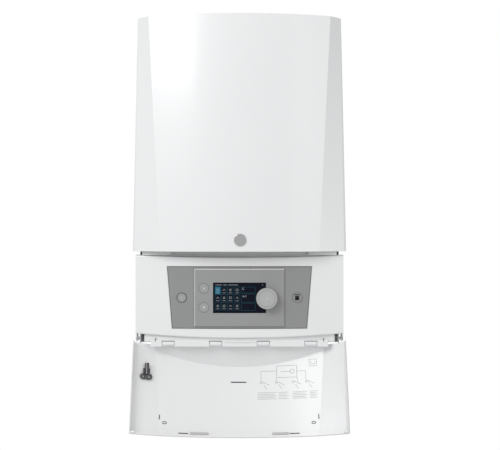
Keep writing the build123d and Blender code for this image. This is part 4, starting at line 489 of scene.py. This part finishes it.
@dataclass(frozen=True)
class Bed:
    """A face of a CAD node that prints and small pieces lie on."""

    node: str
    body: Body
    origin: Vector
    up: Vector = Vector((0.0, 0.0, 1.0))
    out: Vector = Vector((0.0, -1.0, 0.0))
    reach: float = 0.12

    def at(self, x: float, z: float, lift: float) -> Vector:
        """Finds a point just off the node's surface.

        Args:
            x: distance across from the origin, in millimetres.
            z: distance up the face from the origin, in millimetres.
            lift: height over the surface, in millimetres.

        Returns:
            The point, in metres.
        """
        over = self.origin + Vector((x * MM, 0.0, 0.0)) + self.up * (z * MM) + self.out * self.reach
        found, where, _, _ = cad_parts[self.node].ray_cast(over, -self.out)
        if not found:
            where = over - self.out * self.reach
        return where + self.out * (lift * MM)


@dataclass(frozen=True)
class Rib:
    """Sizes of a thin upright rib behind a curved front, in millimetres.

    Args:
        half: half its length.
        read_at: height at which the front's curve is read.
        foot: height of its foot.
        top: height of its top.
        set_in: how far it stands behind the front.
        thick: its thickness.
    """

    half: float
    read_at: float
    foot: float
    top: float
    set_in: float = 1.0
    thick: float = 3.0


@dataclass
class Press:
    """Makes the thin pieces that lie on a bed."""

    finishes: Finishes
    step: float = 4.0

    def _finished(self, name: str, shape: bmesh.types.BMesh, bed: Bed, finish: str) -> bpy.types.Object:
        """Turns a shape into a piece that rides on the bed's body."""
        bmesh.ops.recalc_face_normals(shape, faces=shape.faces)
        mesh = bpy.data.meshes.new(name)
        shape.to_mesh(mesh)
        shape.free()
        mesh.materials.append(self.finishes.made[finish])
        piece = bpy.data.objects.new(name, mesh)
        bpy.context.scene.collection.objects.link(piece)
        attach(piece, bed.body.value)
        LOG.info("piece %s: %d faces", name, len(mesh.polygons))
        return piece

    def sheet(
        self, name: str, bed: Bed, outlines: Iterable[Path], finish: str, thick: float = 0.12
    ) -> bpy.types.Object:
        """Lays filled outlines on a bed.

        Args:
            name: the piece's name.
            bed: the face that carries it.
            outlines: closed outlines in millimetres.
            finish: name of its finish.
            thick: thickness in millimetres.

        Returns:
            The new piece.
        """
        shape = bmesh.new()
        for outline in outlines:
            ring = Outline.divided(outline, self.step, True)
            foot = [shape.verts.new(bed.at(x, z, 0.0)) for x, z in ring]
            head = [shape.verts.new(bed.at(x, z, thick)) for x, z in ring]
            shape.faces.new(head)
            shape.faces.new(foot)
            for here in range(len(ring)):
                after = (here + 1) % len(ring)
                shape.faces.new((foot[here], foot[after], head[after], head[here]))
        return self._finished(name, shape, bed, finish)

    def lines(
        self, name: str, bed: Bed, paths: Iterable[Path], width: float, finish: str, thick: float = 0.12
    ) -> bpy.types.Object:
        """Lays lines of one width on a bed.

        Args:
            name: the piece's name.
            bed: the face that carries it.
            paths: open paths in millimetres.
            width: width of the lines in millimetres.
            finish: name of their finish.
            thick: thickness in millimetres.

        Returns:
            The new piece.
        """
        shape = bmesh.new()
        for path in paths:
            places = Outline.divided(path, self.step, False)
            sections = []
            for here, (x, z) in enumerate(places):
                x0, z0 = places[max(here - 1, 0)]
                x1, z1 = places[min(here + 1, len(places) - 1)]
                run = math.hypot(x1 - x0, z1 - z0) or 1.0
                side_x, side_z = -(z1 - z0) / run * width / 2, (x1 - x0) / run * width / 2
                edges = ((x - side_x, z - side_z), (x + side_x, z + side_z))
                corners = [bed.at(ex, ez, 0.0) for ex, ez in edges]
                corners += [bed.at(ex, ez, thick) for ex, ez in reversed(edges)]
                sections.append([shape.verts.new(corner) for corner in corners])
            self._joined(shape, sections)
        return self._finished(name, shape, bed, finish)

    @staticmethod
    def _joined(shape: bmesh.types.BMesh, sections: Sequence[Any]) -> None:
        """Joins four-cornered sections into one closed run."""
        for before, after in zip(sections, sections[1:]):
            for here in range(4):
                other = (here + 1) % 4
                shape.faces.new((before[here], before[other], after[other], after[here]))
        shape.faces.new(sections[0])
        shape.faces.new(sections[-1])

    def rib(self, name: str, bed: Bed, rib: Rib, finish: str) -> bpy.types.Object:
        """Stands a thin rib behind a curved front.

        Args:
            name: the piece's name.
            bed: the curved front that it follows.
            rib: its sizes.
            finish: name of its finish.

        Returns:
            The new piece.
        """
        shape = bmesh.new()
        sections = []
        steps = round(2 * rib.half / self.step)
        for here in range(steps + 1):
            x = -rib.half + 2 * rib.half * here / steps
            front = bed.at(x, rib.read_at, -rib.set_in)
            back = bed.at(x, rib.read_at, -rib.set_in - rib.thick)
            places = ((front, rib.foot), (front, rib.top), (back, rib.top), (back, rib.foot))
            sections.append([shape.verts.new(Vector((end.x, end.y, z * MM))) for end, z in places])
        self._joined(shape, sections)
        return self._finished(name, shape, bed, finish)


def centre(node: str) -> Vector:
    """Middle of a CAD node's box."""
    low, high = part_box(node)
    return (Vector(low) + Vector(high)) / 2


@dataclass
class ScreenPicture:
    """Plain tiles, boxes and signs that the screen shows, in millimetres from its middle."""

    columns: Tuple[float, ...] = (-45.5, -32.3, -19.2, -5.0)
    rows: Tuple[float, ...] = (15.5, -1.0, -18.0)
    tile_wide: float = 11.4
    tile_high: float = 15.4
    frame_line: float = 0.45
    pane_left: float = 4.0
    pane_right: float = 33.0
    panes: Places = ((10.0, 22.6), (-9.3, 8.2), (-26.5, -11.2))
    header: Places = ((-50.5, 14.0), (-34.0, 8.0), (-23.5, 20.0), (47.0, 2.4))
    header_z: float = 27.0
    header_line: float = 0.8
    sign_line: float = 0.6
    icon_thick: float = 0.2
    ring_radius: float = 2.4
    ring_up: float = 1.0
    peak: Places = ((-2.6, -0.8), (0.0, 3.0), (2.6, -0.8))
    bar_half: float = 2.4
    bar_rises: Tuple[float, ...] = (2.6, 0.8, -1.0)
    caption_half: float = 3.4
    caption_drop: float = 5.0
    open_ring: Tuple[float, ...] = (4.0, 19.0, 1.8, 60.0, 330.0)
    pane_signs: Tuple[Places, ...] = (
        ((2.6, 4.4), (6.0, 1.6)),
        ((2.6, 1.6), (6.0, 4.4)),
        ((10.4, 4.8), (7.6, 3.0), (10.4, 1.2)),
    )

    def build(self, press: Press) -> None:
        """Lays the picture on the screen.

        Args:
            press: maker of thin pieces.
        """
        middle = centre("display_screen")
        bed = Bed("display_screen", Body.PANEL, Vector((0.0, middle.y, middle.z)))
        half, tall = self.tile_wide / 2, self.tile_high / 2
        tiles = [(x, z) for z in self.rows for x in self.columns]
        frames = [Outline.border(x - half, z - tall, x + half, z + tall) for x, z in tiles]
        frames += [Outline.border(self.pane_left, low, self.pane_right, high) for low, high in self.panes]
        press.lines("screen_frames", bed, frames, self.frame_line, "line_teal")
        first_x, first_z = tiles[0]
        chosen = Outline.box(first_x - half, first_z - tall, first_x + half, first_z + tall)
        press.sheet("screen_chosen_tile", bed, [chosen], "tile_teal")
        header = [[(x, self.header_z), (x + long, self.header_z)] for x, long in self.header]
        press.lines("screen_header", bed, header, self.header_line, "icon_pale")
        press.lines("screen_icons", bed, self._icons(tiles), self.sign_line, "icon_pale", self.icon_thick)
        press.lines("screen_rows", bed, self._pane_signs(), self.sign_line, "icon_pale")

    def _icons(self, tiles: Path) -> List[Path]:
        """Draws a plain sign and a caption line in each tile.

        Args:
            tiles: middles of the tiles.

        Returns:
            The paths of all signs.
        """
        icons: List[Path] = []
        for place, (x, z) in enumerate(tiles):
            if place % 3 == 0:
                icons.append(Outline.ring(x, z + self.ring_up, self.ring_radius))
            elif place % 3 == 1:
                icons.append([(x + across, z + up) for across, up in self.peak])
            else:
                for rise in self.bar_rises:
                    icons.append([(x - self.bar_half, z + rise), (x + self.bar_half, z + rise)])
            caption = z - self.caption_drop
            icons.append([(x - self.caption_half, caption), (x + self.caption_half, caption)])
        return icons

    def _pane_signs(self) -> List[Path]:
        """Draws the plain signs in the boxes at the right."""
        x, z, radius, start, end = self.open_ring
        signs = [Outline.arc(self.pane_left + x, z, radius, start, end)]
        signs += [[(self.pane_left + across, up) for across, up in sign] for sign in self.pane_signs]
        return signs


@dataclass
class PanelMarks:
    """Marks, edge lines, and painted highlight and shadow lines on the panel's keys, button, socket, knob,
    module, fascia and housing.
    """

    mark_line: float = 0.9
    arrow: Tuple[Places, ...] = (((1.2, 1.9), (-1.4, 0.0), (1.2, -1.9)), ((-1.4, 0.0), (2.4, 0.0)))
    bar_half: float = 2.0
    bar_rises: Tuple[float, ...] = (1.6, 0.0, -1.6)
    power_line: float = 0.6
    power_radius: float = 2.2
    power_turn: Tuple[float, float] = (120.0, 420.0)
    power_stem: Tuple[float, float] = (0.6, 3.0)
    socket_hole: Tuple[float, ...] = (-4.2, -5.2, 4.2, 3.2)
    # Painted shadow bar above the socket's hole: half length, height and width.
    socket_shadow_half: float = 4.8
    socket_shadow_up: float = 5.6
    socket_shadow_line: float = 2.2
    ring_radius: float = 10.4
    ring_line: float = 0.9
    ring_steps: int = 36
    knob_ring_radius: float = 16.4
    knob_ring_line: float = 0.8
    knob_ring_steps: int = 48
    knob_mark: Places = ((-1.2, -1.6), (1.6, 1.6))
    knob_mark_line: float = 1.0
    # Inset and widths of the painted highlight and shade lines on the display module's edges.
    module_in: float = 1.4
    module_line: float = 0.8
    module_top_line: float = 1.5
    # Width and inset of the painted shadow line round the recessed fascia.
    fascia_shadow_width: float = 0.9
    fascia_in: float = 1.2
    foot_half: float = 142.0
    top_half: float = 152.5
    pin_x: float = 177.0
    pin_low: float = 6.5
    pin_high: float = 12.5
    pin_line: float = 1.5
    top_rib: Rib = Rib(half=205.0, read_at=186.0, foot=188.0, top=195.3)

    def _bed(self, node: str, body: Body) -> Bed:
        """Bed on the front of a node, with its origin in the node's middle."""
        return Bed(node, body, centre(node))

    def build(self, press: Press) -> None:
        """Makes all the marks.

        Args:
            press: maker of thin pieces.
        """
        self._keys(press)
        self._button_and_socket(press)
        self._knob(press)
        self._module(press)
        self._fascia(press)
        self._housing(press)

    def _keys(self, press: Press) -> None:
        """Marks the upper key with an arrow and the lower key with three bars."""
        arrow = [list(stroke) for stroke in self.arrow]
        upper = self._bed("upper_key", Body.KEY_UP)
        press.lines("upper_key_mark", upper, arrow, self.mark_line, "print_and_highlight_white")
        bars = [[(-self.bar_half, rise), (self.bar_half, rise)] for rise in self.bar_rises]
        lower = self._bed("lower_key", Body.KEY_DOWN)
        press.lines("lower_key_mark", lower, bars, self.mark_line, "print_and_highlight_white")

    def _button_and_socket(self, press: Press) -> None:
        """Marks the power button, paints shade into the socket's hole with a black sheet and a painted
        shadow bar above it, and rings both.
        """
        stem = [(0.0, end) for end in self.power_stem]
        power = [Outline.arc(0.0, 0.0, self.power_radius, *self.power_turn), stem]
        button = self._bed("power_button", Body.POWER)
        press.lines("power_mark", button, power, self.power_line, "print_pale")
        socket = self._bed("service_socket", Body.PANEL)
        # Painted shade: a black sheet laid in the socket's hole.
        press.sheet("socket_shade", socket, [Outline.box(*self.socket_hole)], "black_mark_and_shade")
        # Painted shadow: a dark bar just above the hole, where its upper lip casts shade.
        bar = [(-self.socket_shadow_half, self.socket_shadow_up), (self.socket_shadow_half, self.socket_shadow_up)]
        press.lines("socket_painted_shadow_bar", socket, [bar], self.socket_shadow_line, "edge_line_and_shadow_grey")
        ring = Outline.ring(0.0, 0.0, self.ring_radius, self.ring_steps)
        press.lines("socket_ring", socket, [ring], self.ring_line, "edge_line_and_shadow_grey")
        collar = self._bed("power_collar", Body.PANEL)
        press.lines("power_ring", collar, [ring], self.ring_line, "edge_line_and_shadow_grey")

    def _knob(self, press: Press) -> None:
        """Draws the knob's ring line and its small middle mark."""
        knob = self._bed("rotary_knob", Body.KNOB)
        ring = Outline.ring(0.0, 0.0, self.knob_ring_radius, self.knob_ring_steps)
        press.lines("knob_ring", knob, [ring], self.knob_ring_line, "print_grey")
        press.lines("knob_mark", knob, [list(self.knob_mark)], self.knob_mark_line, "print_and_highlight_white")

    def _module(self, press: Press) -> None:
        """Draws a painted highlight along the display module's top and left edges and painted shade along
        its bottom and right edges, as if lit from the upper left.
        """
        low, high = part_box("display_module")
        wide = (high[0] - low[0]) / MM / 2 - self.module_in
        tall = (high[2] - low[2]) / MM / 2 - self.module_in
        bed = self._bed("display_module", Body.PANEL)
        # Painted highlight along the left and top edges, where light from the upper left falls.
        lit_left_edge = [(-wide, -tall), (-wide, tall)]
        press.lines("module_painted_highlight_left", bed, [lit_left_edge], self.module_line, "print_and_highlight_white")
        lit_top_edge = [(-wide, tall), (wide, tall)]
        press.lines("module_painted_highlight_top", bed, [lit_top_edge], self.module_top_line, "print_and_highlight_white")
        # Painted shade along the bottom and right edges.
        shaded_edge = [(-wide, -tall), (wide, -tall), (wide, tall)]
        press.lines("module_painted_shade_edge", bed, [shaded_edge], self.module_line, "edge_line_and_shadow_grey")

    def _fascia(self, press: Press) -> None:
        """Draws a painted shadow line along the fascia's sloping edge, standing for the shade at its
        recessed rim.
        """
        low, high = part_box("fascia")
        tall = (high[2] - low[2]) / MM / 2 - self.fascia_in
        foot = self.foot_half - self.fascia_in
        top = self.top_half - self.fascia_in
        # Painted shadow round the recessed fascia's edge.
        edge = [(-foot, -tall), (foot, -tall), (top, tall), (-top, tall), (-foot, -tall)]
        fascia = self._bed("fascia", Body.PANEL)
        press.lines("fascia_painted_shadow_line", fascia, [edge], self.fascia_shadow_width, "edge_line_and_shadow_grey")

    def _housing(self, press: Press) -> None:
        """Marks the housing's two pins and stands the rib that closes its upper gap."""
        housing = Bed("control_housing", Body.PANEL, Vector((0.0, centre("control_housing").y, 0.0)))
        pins = [[(x, self.pin_low), (x, self.pin_high)] for x in (-self.pin_x, self.pin_x)]
        press.lines("housing_pin_marks", housing, pins, self.pin_line, "black_mark_and_shade")
        press.rib("housing_top_rib", housing, self.top_rib, "housing_white")


@dataclass
class FlapPrint:
    """Connection diagram printed inside the flap, with the latch marks and catches at its edge."""

    hinge: Point = (0.0, -0.398, 0.002)
    open_degrees: float = 160.0
    reach: float = 0.09
    proud: float = 0.3
    strip: Places = ((-18.2, 72.2), (14.5, 72.2))
    strip_line: float = 2.2
    diagram_line: float = 0.7
    plan_box: Tuple[float, ...] = (79.1, 38.2, 121.3, 63.4)
    plan_line: Places = ((87.2, 50.9), (107.2, 50.9))
    plan_ring: Tuple[float, ...] = (111.9, 50.9, 4.5)
    sign_box: Tuple[float, ...] = (147.5, 27.0, 163.0, 41.4)
    sign: Places = ((151.0, 31.0), (151.0, 37.0), (159.5, 37.0), (159.5, 32.5))
    leaders: Tuple[Places, ...] = (
        ((79.1, 49.0), (45.6, 49.0), (45.6, 71.0)),
        ((78.2, 63.4), (78.2, 71.0)),
        ((121.3, 63.4), (124.0, 75.0)),
        ((121.3, 50.9), (140.2, 50.9), (140.2, 70.0)),
    )
    stops: Tuple[float, ...] = (46.6, 78.5, 113.2, 141.5)
    stop_z: float = 73.5
    stop_radius: float = 2.4
    strokes: Tuple[Places, ...] = (((3.2, 72.5), (16.0, 79.0)), ((5.0, 79.0), (12.0, 88.0)))
    blocks: Places = ((38.4, 78.4), (82.4, 103.5), (112.2, 142.4), (147.3, 164.2))
    block_rows: int = 5
    block_low: float = 94.6
    block_step: float = 3.4
    block_bar: float = 1.1
    block_indent: float = 4.0
    latches: Tuple[Places, ...] = (
        ((-166.5, 146.0), (-166.5, 155.5)),
        ((165.0, 144.0), (165.0, 154.5)),
        ((-127.0, 182.4), (-107.0, 182.4)),
        ((104.5, 182.4), (125.0, 182.4)),
    )
    latch_line: float = 1.8
    ovals: Places = ((-156.0, 162.0), (154.5, 161.5))
    oval_half: Tuple[float, float] = (3.9, 2.3)
    oval_line: float = 1.5
    catches: Tuple[Tuple[float, ...], ...] = ((-103.0, 179.5, -65.0, 184.0), (68.5, 179.5, 102.0, 184.0))
    catch_thick: float = 2.2

    def bed(self) -> Bed:
        """Inner face of the flap, with its origin on the hinge line."""
        turn = math.radians(self.open_degrees)
        up = Vector((0.0, -math.sin(turn), math.cos(turn)))
        out = Vector((0.0, math.cos(turn), math.sin(turn)))
        return Bed("flap_shell", Body.FLAP, Vector(self.hinge), up, out, self.reach)

    def _diagram(self) -> List[Path]:
        """Draws the connection diagram: a plan, a sign, leader lines and a stroke pair at each stop."""
        paths = [Outline.border(*self.plan_box), list(self.plan_line), Outline.ring(*self.plan_ring)]
        paths += [Outline.border(*self.sign_box), list(self.sign)]
        paths += [list(leader) for leader in self.leaders]
        for stop in self.stops:
            paths.append(Outline.ring(stop, self.stop_z, self.stop_radius))
            paths += [[(stop + across, z) for across, z in stroke] for stroke in self.strokes]
        return paths

    def _blocks(self) -> List[Path]:
        """Draws the pale bars that stand for blocks of print."""
        bars: List[Path] = []
        for left, right in self.blocks:
            for row in range(self.block_rows):
                low = self.block_low + row * self.block_step
                end = right - (row % 2) * self.block_indent
                bars.append(Outline.box(left, low, end, low + self.block_bar))
        return bars

    def build(self, press: Press) -> None:
        """Makes the prints and catches.

        Args:
            press: maker of thin pieces.
        """
        bed = self.bed()
        press.lines("flap_black_strip", bed, [list(self.strip)], self.strip_line, "black_mark_and_shade", self.proud)
        press.lines("flap_diagram", bed, self._diagram(), self.diagram_line, "print_grey")
        press.sheet("flap_print_blocks", bed, self._blocks(), "print_pale")
        latches = [list(latch) for latch in self.latches]
        press.lines("flap_latch_marks", bed, latches, self.latch_line, "black_mark_and_shade", self.proud)
        ovals = [Outline.oval(x, z, *self.oval_half) for x, z in self.ovals]
        press.lines("flap_ovals", bed, ovals, self.oval_line, "edge_line_and_shadow_grey", self.proud)
        catches = [Outline.box(*catch) for catch in self.catches]
        press.sheet("flap_catches", bed, catches, "print_pale", self.catch_thick)


@dataclass(frozen=True)
class Lamp:
    """One square soft lamp: where it stands in metres, the length of its side, and its watts."""

    name: str
    place: Point
    side: float
    power: float


@dataclass
class Studio:
    """Camera, soft lamps, white surround and a pale floor below the boiler."""

    eye_level: float = 0.2294
    distance: float = 2.193
    pixels_wide: float = 500.0
    pixels_high: float = 450.0
    focal_pixels: float = 1066.0
    centre_across: float = 239.5
    horizon_down: float = 235.5
    sensor: float = 36.0
    farthest: float = 50.0
    room_level: float = 0.60
    lamp_target: Point = (0.0, -0.2, 0.25)
    lamps: Tuple[Lamp, ...] = (
        Lamp("key_lamp", (-1.6, -2.6, 1.7), 1.4, 43.0),
        Lamp("fill_lamp", (1.9, -2.4, 0.6), 1.6, 10.0),
        Lamp("rear_lamp", (0.6, 2.0, 1.8), 1.6, 18.0),
    )
    floor_level: float = -0.62
    floor_radius: float = 1.3
    floor_sides: int = 96
    floor_dark: Colour = (0.80, 0.80, 0.80)
    floor_light: Colour = (0.83, 0.83, 0.83)
    floor_cloud: float = 3.0
    floor_roughness: float = 0.8

    def camera(self) -> None:
        """Sets the camera where the photograph was taken from."""
        lens = bpy.data.cameras.new("camera")
        lens.sensor_width = self.sensor
        lens.lens = self.sensor * self.focal_pixels / self.pixels_wide
        lens.shift_x = (self.pixels_wide / 2 - self.centre_across) / self.pixels_wide
        lens.shift_y = (self.horizon_down - self.pixels_high / 2) / self.pixels_wide
        lens.clip_end = self.farthest
        holder = bpy.data.objects.new("camera", lens)
        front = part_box("front_casing")[0][1]
        holder.location = (0.0, front - self.distance, self.eye_level)
        holder.rotation_euler = (math.radians(90.0), 0.0, 0.0)
        bpy.context.scene.collection.objects.link(holder)
        bpy.context.scene.camera = holder

    def light(self, lamp: Lamp) -> None:
        """Sets up one lamp that looks at the boiler's middle.

        Args:
            lamp: the lamp.
        """
        light = bpy.data.lights.new(lamp.name, "AREA")
        light.size = lamp.side
        light.energy = lamp.power
        holder = bpy.data.objects.new(lamp.name, light)
        holder.location = lamp.place
        aim = Vector(self.lamp_target) - Vector(lamp.place)
        holder.rotation_euler = aim.to_track_quat("-Z", "Y").to_euler()
        bpy.context.scene.collection.objects.link(holder)

    def world(self) -> None:
        """Lights the room evenly and shows white behind the boiler."""
        world = bpy.data.worlds.new("room")
        world.use_nodes = True
        tree = world.node_tree
        tree.nodes.clear()
        rays = tree.nodes.new("ShaderNodeLightPath")
        seen = tree.nodes.new("ShaderNodeMath")
        seen.operation = "MAXIMUM"
        tree.links.new(rays.outputs["Is Camera Ray"], seen.inputs[0])
        tree.links.new(rays.outputs["Is Transmission Ray"], seen.inputs[1])
        soft = tree.nodes.new("ShaderNodeBackground")
        soft.inputs["Strength"].default_value = self.room_level
        bright = tree.nodes.new("ShaderNodeBackground")
        bright.inputs["Strength"].default_value = 1.0
        for shade in (soft, bright):
            shade.inputs["Color"].default_value = (1.0, 1.0, 1.0, 1.0)
        mix = tree.nodes.new("ShaderNodeMixShader")
        tree.links.new(seen.outputs[0], mix.inputs[0])
        tree.links.new(soft.outputs[0], mix.inputs[1])
        tree.links.new(bright.outputs[0], mix.inputs[2])
        out = tree.nodes.new("ShaderNodeOutputWorld")
        tree.links.new(mix.outputs[0], out.inputs[0])
        bpy.context.scene.world = world

    def floor(self) -> None:
        """Lays a round pale floor below the boiler."""
        mesh = bpy.data.meshes.new("floor")
        shape = bmesh.new()
        bmesh.ops.create_circle(shape, cap_ends=True, segments=self.floor_sides, radius=self.floor_radius)
        shape.to_mesh(mesh)
        shape.free()
        floor = bpy.data.objects.new("floor", mesh)
        floor.location = (0.0, 0.0, self.floor_level)
        bpy.context.scene.collection.objects.link(floor)
        graph = Graph("floor_pale")
        cloud = graph.noise(graph.place(), self.floor_cloud)
        shade = graph.mixed(cloud, self.floor_dark, self.floor_light)
        floor.data.materials.append(graph.surface({"Base Color": shade, "Roughness": self.floor_roughness}))

    def build(self) -> None:
        """Sets the whole studio."""
        self.camera()
        self.world()
        for lamp in self.lamps:
            self.light(lamp)
        self.floor()
        bpy.context.scene.view_settings.view_transform = "Standard"


def main() -> None:
    """Builds every part of the picture in order."""
    logging.basicConfig(level=logging.INFO, format="%(message)s")
    finishes = Finishes()
    finishes.build()
    finishes.dress()
    press = Press(finishes)
    ScreenPicture().build(press)
    PanelMarks().build(press)
    FlapPrint().build(press)
    Studio().build()


if __name__ == "__main__":
    main()
